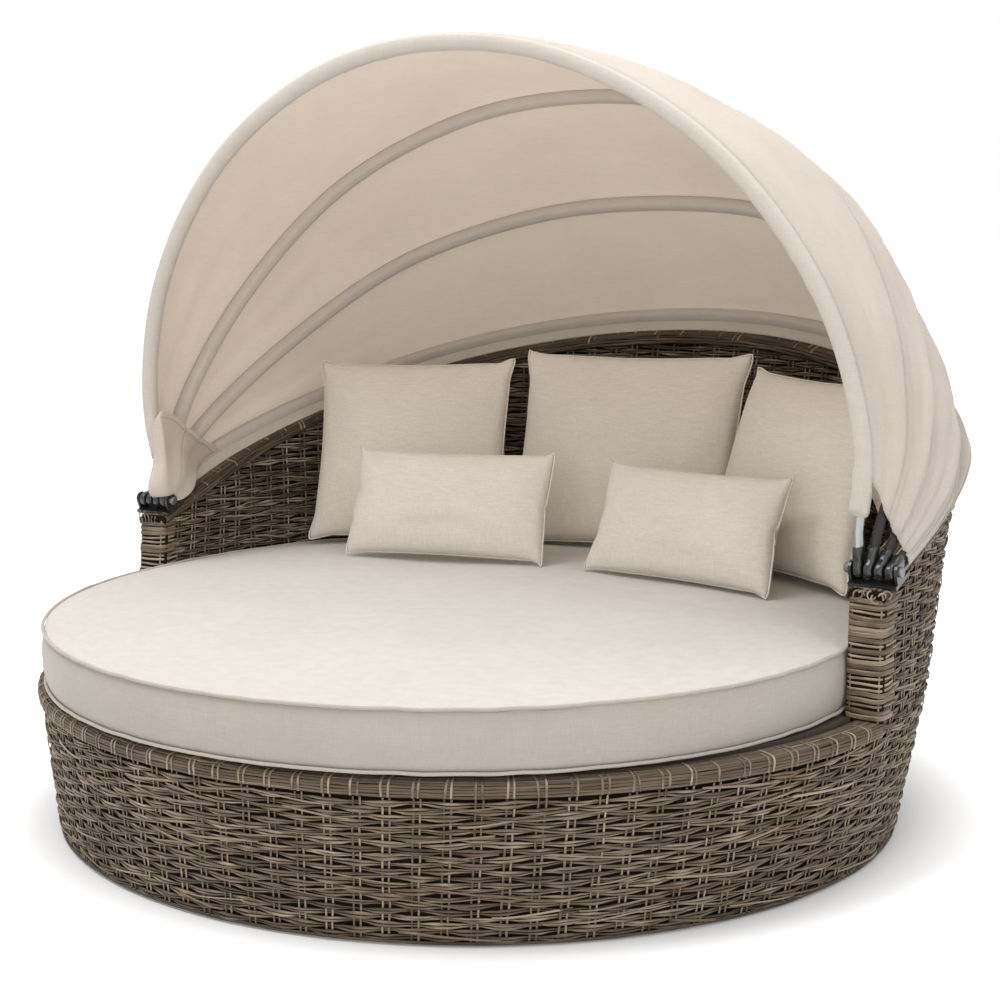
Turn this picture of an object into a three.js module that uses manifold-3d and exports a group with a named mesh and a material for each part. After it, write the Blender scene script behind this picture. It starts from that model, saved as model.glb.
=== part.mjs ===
// Outdoor daybed with a folding canopy: a round wicker drum with a high curved back,
// a seat cushion, loose pillows and a cloth hood on four bows.
// Millimetres, +X to the sitter's left arm as seen from the front, +Y to the back, +Z up.
// The origin is on the floor at the middle of the base.

import * as THREE from 'three';
import { mergeVertices } from 'three/addons/utils/BufferGeometryUtils.js';
import Module from 'manifold-3d';

// Fits between neighbouring pieces
const clearance = 0.3;
const tubeClearance = 0.1;

// Shell in plan and profile: an oval cone that also leans back
const baseHalfWidth = 800;
const depthShare = 0.9275;
const outwardLeanShare = 0.1676;
const backwardLeanShare = 0.107;
const skinThickness = 6;
const wallThickness = 63;
const skinBottom = 6;
const drumSkinTop = 240;
const rimTop = 266;
const armDrawIn = 47;
const armDrawInPower = 10;
const armTurn = THREE.MathUtils.degToRad(-3.2);

// Heights of the seat cushion's edges, up from the rim
const cushionOverRim = 15;
const cushionEdgeHeight = 100;
const cushionBottomEdge = rimTop + cushionOverRim;
const cushionTopEdge = cushionBottomEdge + cushionEdgeHeight;

// Hub axis of the canopy and the tilted plane of the back's top edge
const hubOverCushion = 134;
const hubHeight = cushionTopEdge + hubOverCushion;
const hubDepth = 16.7;
const backSlope = THREE.MathUtils.degToRad(20.3);
const hubToWrapTop = 24;
const wrapHeight = 14;
const wrapOverhang = 3;
const wrapSideRound = 6;
const wrapTopRound = 15;
const wrapTopFall = 1.5;

// Bound arm ends
const bindingReach = 13;
const bindingSideReach = 6;
const bindingShoulderReach = 11;
const bindingShoulderInset = 4;
const bindingFlatInset = 14;
const bindingOverhang = 2;
const notchMargin = 6;

// Rolled front rim
const rimOverhang = 3;
const rimLowerGap = 4;
const rimSideFall = 8;
const rimShoulderFall = 2;
const rimInnerReach = 42.4;
const rimLipDepth = 11;
const rimLipInset = 18;
const rimWebThickness = 14;
const rimFootInset = 2;
const rimCornerInset = 10;

// Tubular frame
const ringTubeRadius = 12;
const postRadius = 11;
const postInset = 31.5;
const ringInset = postInset + postRadius + ringTubeRadius + tubeClearance;
const postFootLift = 1;
const railSetBack = 8;
const armPostTurn = armTurn + THREE.MathUtils.degToRad(1.6);

// Glides, beams and centre leg
const gliderHeight = 10;
const gliderRadius = 16;
const gliderFootRound = 2;
const gliderNeckRadius = 11;
const beamWidth = 30;
const beamSpacing = 480;
const beamEndGap = 1.4;
const centreLegRadius = 19;
const centreFootRadius = 30;
const centreFootHeight = 8;

// Slatted deck
const deckTop = 274;
const deckThickness = 12;
const deckEdgeGap = 0.7;
const deckEdgeInset = postInset + postRadius + deckEdgeGap;
const slotWidth = 26;
const slotPitch = 110;
const slotEndMargin = 130;
const slotBeamMargin = 34;
const shortestSlot = 55;

// Bows
const bowWidth = 16;
const bowDepth = 22;
const bowPitch = 19;
const bowSetIn = 14;
const innermostBowHalfWidth = baseHalfWidth - bowSetIn;
const bowStart = 36;
const bowStraightEnd = 62;
// Reach of the front bow's top from the hub axis, the course below it in shares of that reach,
// and what each bow behind it has more
const bowReachShare = 1.12;
const bowReach = baseHalfWidth * bowReachShare;
const bowCourse = [
  { at: 15, reachShare: 0.926, more: 10 },
  { at: 32, reachShare: 0.966, more: 4 },
  { at: 52, reachShare: 0.989, more: 18 },
  { at: 72, reachShare: 0.999, more: 14 },
  { at: 90, reachShare: 1, more: 9 },
];
const rearBowTurns = [14, 30, 50, 70, 90].map(THREE.MathUtils.degToRad);
const rearBowFootInset = 6;
const bowTurns = [94.5, 62.8, 40.2].map(THREE.MathUtils.degToRad);
const bowNames = ['front', 'second', 'third', 'rear'];

// Pivot hardware
const eyeRadius = 14;
const eyeWidth = bowPitch - 2 * clearance;
const boltRadius = 5;
const boltHeadRadius = 9;
const boltHeadHeight = 6;
const boltHeadRound = 2;
const nutHeight = 11;
const nutBoreDepth = 7.5;
const nutDomeRise = 3;
const nutCrownRadius = 6;
const earThickness = 5;
const bracketPlate = 7;
const bracketFront = 22;
const bracketBack = 34;
const stemDepth = 20;
const spigotWidth = 9;
const spigotDepth = 13;
const spigotLength = 22;

// Canopy cloth
const clothThickness = 2.4;
const clothLift = 2.6;
const clothStart = 64;
const clothStartStep = 30;
const clothPuff = 23;
const seamGap = 0.6;
const foldDepth = 5;
const foldReachShare = 0.34;
const foldCount = 3;

// Sleeves under the bows and the hem round the front one
const sleeveThickness = 1.6;
const sleeveFit = 0.8;
const sleeveSeat = 0.9;
const sleeveCornerInset = 3;
const sleeveWaistFall = 3;
const hemStart = 88;
const hemHang = 5;
const hemCornerFall = 3;

// Cloth that hangs outside the back
const dropNearHub = 20;
const dropGrowth = 150;
const dropGrowthPower = 3;
const dropLooseFall = 50;
const dropCornerShare = 0.35;
const dropInset = 5.5;
const dropSpread = 2;
const dropShoulder = 5;
const dropShoulderFall = 4;
const dropBillow = 5;
const dropFolds = 8;
const dropFlare = 10;

// Seat cushion
const cushionSideGap = 32;
const cushionHalfWidth = baseHalfWidth - cushionSideGap;
const cushionFrontFullness = 32;
const cushionFrontFullnessPower = 0.7;
const cushionHalfDepth = baseHalfWidth * depthShare;
const cushionDepthOffset = -15;
const cushionCrown = 21;
const cushionCrownPower = 5;
const cushionSideBulge = 7;
const cushionBottomShares = [0.35, 0.97];
const cushionTopShares = [1, 0.985, 0.93, 0.8, 0.55, 0.25];
const pipingRadius = 4;

// Loose pillows
const pillowSeam = 3;
const pillowDrawInShare = 0.07;
const pillowPlumpPower = 0.55;
// Pillows' sizes and places go by the base's half width, because they fill the back between them
const backPillow = { widthShare: 0.5625, heightShare: 0.515, thicknessShare: 0.156 };
const centrePillow = { widthShare: 0.635, heightShare: 0.5375, thicknessShare: 0.156 };
const lumbarPillow = { widthShare: 0.55, heightShare: 0.295, thicknessShare: 0.115 };
const pillowPlaces = {
  pillow_back_left: { size: backPillow, xShare: -0.5375, yShare: 0.465, yaw: 20, lean: 19 },
  pillow_back_centre: { size: centrePillow, xShare: 0.0225, yShare: 0.625, yaw: 8, lean: 19 },
  pillow_back_right: { size: backPillow, xShare: 0.5313, yShare: 0.5025, yaw: -25, lean: 20 },
  pillow_lumbar_left: { size: lumbarPillow, xShare: -0.2675, yShare: 0.265, yaw: 12, lean: 20 },
  pillow_lumbar_right: { size: lumbarPillow, xShare: 0.3775, yShare: 0.2975, yaw: -8, lean: 23 },
};

// Mesh fineness
const ringSegments = 40;
const wallSegments = 32;
const clothSegments = 26;
const cushionSegments = 40;
const pillowSegments = 10;

const frameMetal = { color: 0x2f2f31, roughness: 0.55, metalness: 0.6 };
const wicker = { color: 0x76695c, roughness: 0.7, metalness: 0 };
const wickerInner = { color: 0x5d5046, roughness: 0.72, metalness: 0 };
const silverTube = { color: 0xb5b7ba, roughness: 0.35, metalness: 0.9 };
const blackPlastic = { color: 0x17181a, roughness: 0.45, metalness: 0 };
const steel = { color: 0x9a9c9f, roughness: 0.4, metalness: 0.9 };
const deckPaint = { color: 0x3a3632, roughness: 0.75, metalness: 0 };
const canvas = { color: 0xd8cdbd, roughness: 0.95, metalness: 0 };
const canvasHem = { color: 0xcdbfac, roughness: 0.95, metalness: 0 };
const cushionCloth = { color: 0xe3dfd7, roughness: 0.95, metalness: 0 };
const pillowCloth = { color: 0xcbbfae, roughness: 0.95, metalness: 0 };

const wasm = await Module();
wasm.setup();

const daybed = new THREE.Group();
daybed.name = 'outdoor_daybed';

const { cos, sin, tan, PI } = Math;
const mix = (a, b, share) => a + (b - a) * share;
const clampShare = (value) => Math.min(1, Math.max(0, value));
const steps = (from, to, count) => Array.from({ length: count + 1 }, (_, i) => mix(from, to, i / count));

function addPiece(name, geometry, look) {
  const mesh = new THREE.Mesh(geometry, new THREE.MeshStandardMaterial(look));
  mesh.name = name;
  daybed.add(mesh);
}

// Solid tools

function signedVolume(geometry) {
  const p = geometry.getAttribute('position');
  const index = geometry.getIndex();
  const [a, b, c] = [new THREE.Vector3(), new THREE.Vector3(), new THREE.Vector3()];
  let total = 0;
  for (let i = 0; i < index.count; i += 3) {
    a.fromBufferAttribute(p, index.getX(i));
    b.fromBufferAttribute(p, index.getX(i + 1));
    c.fromBufferAttribute(p, index.getX(i + 2));
    total += a.dot(b.cross(c)) / 6;
  }
  return total;
}

function facingOut(geometry) {
  if (signedVolume(geometry) < 0) {
    const array = geometry.getIndex().array;
    for (let i = 0; i < array.length; i += 3) {
      [array[i], array[i + 1]] = [array[i + 1], array[i]];
    }
  }
  geometry.computeVertexNormals();
  return geometry;
}

// A closed body through a row of equal outlines. The ends are closed by strips that join
// the outline's first half to its second, so an outline is either convex or a folded strip.
function loft(loops, joined = false) {
  const size = loops[0].length;
  const indices = [];
  const spans = joined ? loops.length : loops.length - 1;
  for (let i = 0; i < spans; i += 1) {
    const here = i * size;
    const next = ((i + 1) % loops.length) * size;
    for (let j = 0; j < size; j += 1) {
      const k = (j + 1) % size;
      indices.push(here + j, here + k, next + k, here + j, next + k, next + j);
    }
  }
  const last = (loops.length - 1) * size;
  for (let j = 0; !joined && j < size / 2 - 1; j += 1) {
    const [a, b, c, d] = [j, j + 1, size - 2 - j, size - 1 - j];
    indices.push(b, a, d, last + a, last + b, last + d);
    if (b !== c) indices.push(b, d, c, last + b, last + c, last + d);
  }
  const geometry = new THREE.BufferGeometry();
  const places = loops.flat().flatMap((point) => point.toArray());
  geometry.setAttribute('position', new THREE.Float32BufferAttribute(places, 3));
  geometry.setIndex(indices);
  return facingOut(geometry);
}

// Only places, with shared corners joined
function welded(geometry) {
  geometry.deleteAttribute('normal');
  geometry.deleteAttribute('uv');
  return mergeVertices(geometry);
}

function toSolid(geometry) {
  const merged = welded(geometry.clone());
  const vertProperties = new Float32Array(merged.getAttribute('position').array);
  const triVerts = new Uint32Array(merged.getIndex().array);
  return new wasm.Manifold(new wasm.Mesh({ numProp: 3, vertProperties, triVerts }));
}

function fromSolid(solid) {
  const { vertProperties, triVerts } = solid.getMesh();
  const geometry = new THREE.BufferGeometry();
  geometry.setAttribute('position', new THREE.BufferAttribute(new Float32Array(vertProperties), 3));
  geometry.setIndex(new THREE.BufferAttribute(new Uint32Array(triVerts), 1));
  geometry.computeVertexNormals();
  return geometry;
}

const box = (x, y, z, at) => new THREE.BoxGeometry(x, y, z).translate(at[0], at[1], at[2]);

// A cylinder along X
function barX(radius, length, centreX, sides) {
  return new THREE.CylinderGeometry(radius, radius, length, sides).rotateZ(PI / 2).translate(centreX, 0, 0);
}

// Points of a circle, or of an oval, about the origin
function circle(radius, sides, otherRadius = radius) {
  return steps(0, 2 * PI, sides).slice(1).map((angle) => [radius * cos(angle), otherRadius * sin(angle)]);
}

// Shell surface

const halfWidthAt = (height) => baseHalfWidth + outwardLeanShare * height;

function shellPoint(turn, height, inset) {
  const risen = clampShare((height - rimTop) / (hubHeight - rimTop));
  const drawn = armDrawIn * risen * Math.abs(cos(turn)) ** armDrawInPower;
  const half = halfWidthAt(height) - drawn;
  const x = (half - inset) * cos(turn);
  const y = backwardLeanShare * height + (depthShare * half - inset) * sin(turn);
  return new THREE.Vector3(x, y, height);
}

// A shell point on a plane parallel to the back's top edge, raised above the hub axis
function topPoint(turn, inset, raised) {
  let point = shellPoint(turn, hubHeight, inset);
  for (let pass = 0; pass < 12; pass += 1) {
    const height = hubHeight + raised / cos(backSlope) + (point.y - hubDepth) * tan(backSlope);
    point = shellPoint(turn, height, inset);
  }
  return point;
}

const wrapTop = -hubToWrapTop;
const wrapBottom = wrapTop - wrapHeight;
const skinTop = wrapBottom - clearance;
const backTurns = steps(armTurn, PI - armTurn, wallSegments);

// Frame under the weave

const baseRingHeight = gliderHeight + ringTubeRadius;
const deckBottom = deckTop - deckThickness;
const seatRingHeight = deckBottom - clearance - ringTubeRadius;

// Posts stand where the rings have their corners
const ringStep = 2 * PI / ringSegments;
const frontPostTurn = 6 * ringStep;
const backStayTurn = 5 * ringStep;

// Half width of a ring's centre line, and its depth as a share of its width
function ringSize(height) {
  const outer = halfWidthAt(height) - ringInset + ringTubeRadius;
  const outerDepth = depthShare * halfWidthAt(height) - ringInset + ringTubeRadius;
  return { half: outer - ringTubeRadius, squashShare: outerDepth / outer };
}

function ringTube(height) {
  const { half, squashShare } = ringSize(height);
  const ring = new THREE.TorusGeometry(half, ringTubeRadius, 8, ringSegments);
  return ring.scale(1, squashShare, 1).translate(0, backwardLeanShare * height, height);
}

// A round tube through a row of places
function tubeThrough(places, radius, segments) {
  const section = new THREE.Shape().absarc(0, 0, radius, 0, 2 * PI);
  const extrudePath = new THREE.CatmullRomCurve3(places);
  return new THREE.ExtrudeGeometry(section, { extrudePath, steps: segments, curveSegments: 5 });
}

function addFrame() {
  addPiece('base_ring', ringTube(baseRingHeight), frameMetal);
  addPiece('seat_ring', ringTube(seatRingHeight), frameMetal);
  const railStart = armTurn + railSetBack / baseHalfWidth;
  const railRaised = skinTop - postRadius;
  const railTurns = steps(railStart, PI - railStart, wallSegments);
  const railPlaces = railTurns.map((turn) => topPoint(turn, postInset, railRaised));
  addPiece('back_rail', tubeThrough(railPlaces, postRadius, wallSegments), frameMetal);
  const postFoot = gliderHeight + postFootLift;
  const underRim = rimTop - rimLipDepth - clearance - postRadius * outwardLeanShare;
  for (const [label, turn] of Object.entries({ right: -frontPostTurn, left: frontPostTurn - PI })) {
    addPiece(`front_post_${label}`, post(turn, [postFoot, underRim]), frameMetal);
  }
  const tallPosts = {
    arm_post_right: armPostTurn,
    back_stay_right: backStayTurn,
    back_stay_centre: PI / 2,
    back_stay_left: PI - backStayTurn,
    arm_post_left: PI - armPostTurn,
  };
  for (const [name, turn] of Object.entries(tallPosts)) {
    const slopeRise = postRadius * (tan(backSlope) + outwardLeanShare) + clearance;
    const top = topPoint(turn, postInset, railRaised - postRadius - slopeRise).z;
    addPiece(name, post(turn, [postFoot, rimTop, (rimTop + top) / 2, top]), frameMetal);
  }
}

// An upright tube that follows the shell between the woven skins
function post(turn, heights) {
  const places = heights.map((height) => shellPoint(turn, height, postInset));
  return tubeThrough(places, postRadius, heights.length);
}

// Cross beams, centre leg and glides

function addBeamsAndFeet() {
  const beamTop = deckBottom - clearance;
  const { half, squashShare } = ringSize(seatRingHeight);
  const innerHalf = half - ringTubeRadius;
  const outerSide = (beamSpacing + beamWidth) / 2;
  const beamReach = squashShare * Math.sqrt(innerHalf ** 2 - outerSide ** 2) - beamEndGap;
  const seatCentre = backwardLeanShare * seatRingHeight;
  for (const [label, side] of Object.entries({ left: -1, right: 1 })) {
    const at = [side * beamSpacing / 2, seatCentre, beamTop - beamWidth / 2];
    addPiece(`deck_beam_${label}`, box(beamWidth, 2 * beamReach, beamWidth, at), frameMetal);
  }
  const tieLength = beamSpacing - beamWidth - 2 * clearance;
  addPiece('deck_tie', box(tieLength, beamWidth, beamWidth, [0, 0, beamTop - beamWidth / 2]), frameMetal);
  const legTop = beamTop - beamWidth - clearance;
  const leg = [[0, 0], [centreFootRadius, 0], [centreFootRadius, centreFootHeight],
    [centreLegRadius, centreFootHeight], [centreLegRadius, legTop], [0, legTop]];
  addPiece('centre_leg', turned(leg, 16), frameMetal);
  const neck = gliderHeight - clearance;
  const glide = [[0, 0], [gliderRadius - gliderFootRound, 0], [gliderRadius, gliderFootRound],
    [gliderNeckRadius, neck], [0, neck]];
  const corners = { back_right: 1, back_left: 3, front_left: 5, front_right: 7 };
  for (const [name, eighths] of Object.entries(corners)) {
    const at = shellPoint(eighths * PI / 4, baseRingHeight, ringInset);
    addPiece(`glide_${name}`, turned(glide, 12).translate(at.x, at.y, 0), blackPlastic);
  }
}

// A turned body from its half profile, standing along Z
function turned(profile, sides) {
  const points = profile.map(([radius, height]) => new THREE.Vector2(radius, height));
  return new THREE.LatheGeometry(points, sides).rotateX(PI / 2);
}

// Deck plate with drainage slots between the slats, notched round the arm ends

function addDeck() {
  const centre = backwardLeanShare * seatRingHeight;
  const half = halfWidthAt(seatRingHeight) - deckEdgeInset;
  const depthHalf = depthShare * halfWidthAt(seatRingHeight) - deckEdgeInset;
  const edge = circle(half, ringSegments, depthHalf).map(([x, y]) => new THREE.Vector2(x, y));
  const outline = new THREE.Shape(edge);
  let plate = toSolid(new THREE.ExtrudeGeometry(outline, { depth: deckThickness, bevelEnabled: false }));
  const cut = (width, depth, x, y) => {
    plate = plate.subtract(toSolid(box(width, depth, 2 * deckThickness, [x, y, deckThickness / 2])));
  };
  const slotRows = Math.floor((depthHalf - slotEndMargin) / slotPitch);
  const inner = beamSpacing / 2 - slotBeamMargin;
  const outer = beamSpacing / 2 + slotBeamMargin;
  for (let row = -slotRows; row <= slotRows; row += 1) {
    const y = row * slotPitch;
    const reach = half * Math.sqrt(1 - (y / depthHalf) ** 2) - slotEndMargin;
    const spans = [[-inner, inner], [outer, reach], [-reach, -outer]];
    for (const [from, to] of spans.filter(([left, right]) => right - left > shortestSlot)) {
      cut(to - from, slotWidth, (from + to) / 2, y);
    }
  }
  const armEnd = shellPoint(armTurn, deckTop, wallThickness / 2);
  const notchWidth = wallThickness + 2 * notchMargin;
  for (const side of [1, -1]) {
    cut(notchWidth, bindingReach + 2 * notchMargin, side * armEnd.x, armEnd.y - centre - bindingReach / 2);
  }
  addPiece('deck_panel', fromSolid(plate).translate(0, centre, deckBottom), deckPaint);
}

// Woven skins

// Section of a skin at one turn: up the outer face, down the inner one
function skinSection(turn, heights, outerInset, topInset) {
  const outer = heights.map((share) => skinPoint(turn, share, outerInset, topInset));
  const innerInset = outerInset + skinThickness;
  const inner = heights.map((share) => skinPoint(turn, share, innerInset, topInset));
  return [...outer, ...inner.reverse()];
}

function skinPoint(turn, share, inset, bottom) {
  const top = topPoint(turn, inset, skinTop);
  return shellPoint(turn, mix(bottom, top.z, share), inset);
}

function addSkins() {
  const drumTurns = steps(0, 2 * PI, ringSegments).slice(1);
  const drumRows = steps(skinBottom, drumSkinTop - clearance, 1);
  const drum = drumTurns.map((turn) => [
    ...drumRows.map((height) => shellPoint(turn, height, 0)),
    ...drumRows.map((height) => shellPoint(turn, height, skinThickness)).reverse(),
  ]);
  addPiece('drum_skin', loft(drum, true), wicker);
  const rows = steps(0, 1, 3);
  const outer = backTurns.map((turn) => skinSection(turn, rows, 0, drumSkinTop));
  addPiece('back_outer_skin', loft(outer), wicker);
  const innerBottom = deckTop + clearance;
  const innerInset = wallThickness - skinThickness;
  const inner = backTurns.map((turn) => skinSection(turn, rows, innerInset, innerBottom));
  addPiece('back_inner_skin', loft(inner), wickerInner);
}

// Rolled front rim, from arm to arm

function addRim() {
  const lipTop = rimTop - rimLipDepth;
  const section = [[-rimOverhang, drumSkinTop + rimLowerGap], [-rimOverhang, rimTop - rimSideFall],
    [rimOverhang, rimTop - rimShoulderFall], [rimCornerInset, rimTop], [rimInnerReach, rimTop],
    [rimInnerReach, lipTop], [rimLipInset, lipTop], [rimWebThickness, drumSkinTop],
    [rimFootInset, drumSkinTop]];
  const endGap = clearance / baseHalfWidth;
  const turns = steps(PI - armTurn + endGap, 2 * PI + armTurn - endGap, wallSegments - 4);
  const loops = turns.map((turn) => section.map(([inset, height]) => shellPoint(turn, height, inset)));
  addPiece('front_rim_roll', loft(loops), wicker);
}

// Bound top edge of the back and the bound ends of the arms

function addBindings() {
  const low = -wrapOverhang;
  const high = wallThickness + wrapOverhang;
  const rise = [[0, wrapBottom], [0, wrapTop - wrapSideRound], [wrapSideRound, wrapTop - wrapTopFall],
    [wrapTopRound, wrapTop]];
  const crown = [...rise.map(([inset, raised]) => [low + inset, raised]),
    ...rise.map(([inset, raised]) => [high - inset, raised]).reverse()];
  const reachTurn = (bindingReach + clearance) / baseHalfWidth;
  const turns = steps(armTurn - reachTurn, PI - armTurn + reachTurn, wallSegments + 2);
  const wrap = turns.map((turn) => crown.map(([inset, raised]) => topPoint(turn, inset, raised)));
  addPiece('back_top_wrap', loft(wrap), wicker);
  const outside = [[-bindingOverhang, clearance], [-bindingOverhang, bindingSideReach],
    [bindingShoulderInset, bindingShoulderReach], [bindingFlatInset, bindingReach]];
  const inside = outside.map(([inset, forward]) => [wallThickness - inset, forward]).reverse();
  const face = [...outside, ...inside];
  for (const [label, side] of Object.entries({ right: 1, left: -1 })) {
    const loops = steps(0, 1, 4).map((share) => face.map(([inset, forward]) => {
      const roof = topPoint(armTurn, inset, skinTop).z - forward * tan(backSlope);
      const at = shellPoint(armTurn, mix(rimTop + clearance, roof, share), inset);
      return new THREE.Vector3(side * at.x, at.y - forward, at.z);
    }));
    addPiece(`arm_end_${label}`, loft(loops), wicker);
  }
}

// Canopy bows

const bowFootX = (order) => innermostBowHalfWidth + order * bowPitch;

// The bow's run in its own plane: across the bed and away from the hub axis
function bowRun(order) {
  const start = [[bowFootX(order), bowStart], [bowFootX(order), bowStraightEnd]];
  if (order === bowNames.length - 1) {
    const overWall = rearBowTurns.map((turn, i) => {
      const at = topPoint(turn, i === 0 ? rearBowFootInset : postInset, 0);
      return [at.x, (at.y - hubDepth) / cos(backSlope)];
    });
    return mirrored([...start, ...overWall]);
  }
  const run = bowCourse.map(({ at, reachShare, more }) => {
    const angle = THREE.MathUtils.degToRad(at);
    const length = bowReach * reachShare + order * more;
    return [length * cos(angle), length * sin(angle)];
  });
  return mirrored([...start, ...run]);
}

function mirrored(half) {
  const other = half.slice(0, -1).reverse().map(([x, away]) => [-x, away]);
  const points = [...half, ...other].map(([x, away]) => new THREE.Vector3(x, away, 0));
  return new THREE.CatmullRomCurve3(points);
}

const bowCurves = bowNames.map((_, order) => bowRun(order));
const bowAngles = [...bowTurns, backSlope];

// Share of the bow's length at which it is a given distance away from the hub axis
function shareAt(order, away) {
  const curve = bowCurves[order];
  let [low, high] = [0, 0.25];
  for (let pass = 0; pass < 30; pass += 1) {
    const trial = (low + high) / 2;
    if (curve.getPointAt(trial).y < away) low = trial;
    else high = trial;
  }
  return low;
}

// Shares of the bow's length between which the cloth lies on it, the same for all that follows the bow
const clothShares = bowNames.map((_, order) => {
  const start = shareAt(order, clothStart + (bowNames.length - 1 - order) * clothStartStep);
  return steps(start, 1 - start, clothSegments);
});
const hemShare = shareAt(0, hemStart);
const hemShares = [hemShare, ...clothShares[0], 1 - hemShare];

// Places along a bow with their outward direction and plane normal, turned to the bow's angle
function bowStations(order, shares) {
  const curve = bowCurves[order];
  const turn = new THREE.Matrix4().makeRotationX(bowAngles[order]);
  const hub = new THREE.Vector3(0, hubDepth, hubHeight);
  return shares.map((share) => {
    const place = curve.getPointAt(share);
    const tangent = curve.getTangentAt(share);
    const outward = new THREE.Vector3(tangent.y, -tangent.x, 0);
    if (share === 0) outward.set(1, 0, 0);
    if (share === 1) outward.set(-1, 0, 0);
    place.applyMatrix4(turn).add(hub);
    outward.transformDirection(turn);
    const normal = new THREE.Vector3(0, 0, 1).transformDirection(turn);
    return { place, outward, normal };
  });
}

const onStation = ({ place, outward, normal }, [across, out]) => place.clone()
  .addScaledVector(normal, across).addScaledVector(outward, out);

// Keeps a bow in one set of facets with the cloth that lies on it
function bowSolid(order) {
  const section = circle(bowDepth / 2, 8, bowWidth / 2);
  const straight = shareAt(order, bowStraightEnd);
  const shares = [0, straight, ...(order === 0 ? hemShares : clothShares[order]), 1 - straight, 1];
  const stations = bowStations(order, shares);
  const loops = stations.map((station) => section.map((point) => onStation(station, point)));
  let solid = toSolid(loft(loops));
  for (const side of [1, -1]) {
    const width = spigotWidth + 2 * clearance;
    const depth = spigotDepth + 2 * clearance;
    const length = spigotLength + clearance;
    const socket = box(width, depth, 2 * length, [side * bowFootX(order), 0, bowStart]);
    solid = solid.subtract(toSolid(towardBow(socket, order)));
  }
  return fromSolid(solid);
}

// From a frame with Z away from the hub axis to the bow's real direction
function towardBow(geometry, order) {
  return geometry.rotateX(bowAngles[order] - PI / 2).translate(0, hubDepth, hubHeight);
}

const sides = { right: 1, left: -1 };

function addBows() {
  bowNames.forEach((name, order) => {
    addPiece(`bow_${name}`, bowSolid(order), silverTube);
    for (const [label, side] of Object.entries(sides)) {
      addPiece(`knuckle_${name}_${label}`, knuckle(order, side), blackPlastic);
    }
  });
}

// Black end fitting: an eye on the bolt, a stem and a spigot inside the tube
function knuckle(order, side) {
  const x = side * bowFootX(order);
  const stemTop = bowStart - clearance;
  const eye = toSolid(barX(eyeRadius, eyeWidth, x, 16));
  const stem = toSolid(box(eyeWidth, stemDepth, stemTop, [x, 0, stemTop / 2]));
  const spigotReach = stemTop + spigotLength - clearance;
  const spigot = toSolid(box(spigotWidth, spigotDepth, spigotReach, [x, 0, spigotReach / 2]));
  const bore = toSolid(barX(boltRadius + clearance, 2 * eyeWidth, x, 12));
  return towardBow(fromSolid(eye.add(stem).add(spigot).subtract(bore)), order);
}

// Hub brackets, bolts and nuts

const stackInner = innermostBowHalfWidth - bowPitch / 2;
const stackOuter = bowFootX(bowNames.length - 1) + bowPitch / 2;
const innerEar = stackInner - clearance - earThickness / 2;
const outerEar = stackOuter + clearance + earThickness / 2;

function addHubs() {
  for (const [label, side] of Object.entries(sides)) {
    addPiece(`hub_bracket_${label}`, atHub(bracket(side)), blackPlastic);
    addPiece(`pivot_bolt_${label}`, atHub(alongX(boltProfile(), side)), steel);
    addPiece(`pivot_nut_${label}`, atHub(alongX(nutProfile(), side)), steel);
  }
}

// A plate on the bound edge with two ears that hold the bolt
function bracket(side) {
  const plateTop = wrapTop + clearance + bracketPlate;
  const plateMiddle = side * (innerEar + outerEar) / 2;
  const plateWidth = outerEar - innerEar + earThickness;
  const plateDepth = bracketFront + bracketBack;
  const plateAt = [plateMiddle, (bracketBack - bracketFront) / 2, plateTop - bracketPlate / 2];
  let solid = toSolid(box(plateWidth, plateDepth, bracketPlate, plateAt));
  const riserHeight = bracketPlate / 2 - plateTop;
  for (const x of [innerEar, outerEar]) {
    const lug = toSolid(barX(eyeRadius, earThickness, side * x, 16));
    const riser = toSolid(box(earThickness, 2 * eyeRadius, riserHeight, [side * x, 0, -riserHeight / 2]));
    solid = solid.add(lug).add(riser);
  }
  return fromSolid(solid.subtract(toSolid(barX(boltRadius + clearance, 2 * plateWidth, plateMiddle, 12))));
}

function boltProfile() {
  const headSeat = outerEar + earThickness / 2 + clearance;
  const headTop = headSeat + boltHeadHeight;
  const tip = innerEar - earThickness / 2 - nutBoreDepth + clearance;
  return [[0, tip], [boltRadius, tip], [boltRadius, headSeat], [boltHeadRadius, headSeat],
    [boltHeadRadius, headTop - boltHeadRound], [boltHeadRadius - boltHeadRound, headTop], [0, headTop]];
}

// A domed nut with a blind bore
function nutProfile() {
  const seat = innerEar - earThickness / 2 - clearance;
  const crown = seat - nutHeight;
  const bore = boltRadius + clearance;
  return [[0, crown], [nutCrownRadius, crown], [boltHeadRadius, crown + nutDomeRise], [boltHeadRadius, seat],
    [bore, seat], [bore, seat - nutBoreDepth], [0, seat - nutBoreDepth]];
}

const atHub = (geometry) => geometry.rotateX(backSlope).translate(0, hubDepth, hubHeight);

function alongX(profile, side) {
  const points = profile.map(([radius, x]) => new THREE.Vector2(radius, x));
  const body = new THREE.LatheGeometry(points, 12).rotateZ(-PI / 2);
  if (side < 0) body.rotateY(PI);
  return facingOut(welded(body));
}

// Canopy cloth

const clothSide = bowWidth / 2 + clothLift;
const clothStations = bowNames.map((_, order) => bowStations(order, clothShares[order]));

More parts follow.
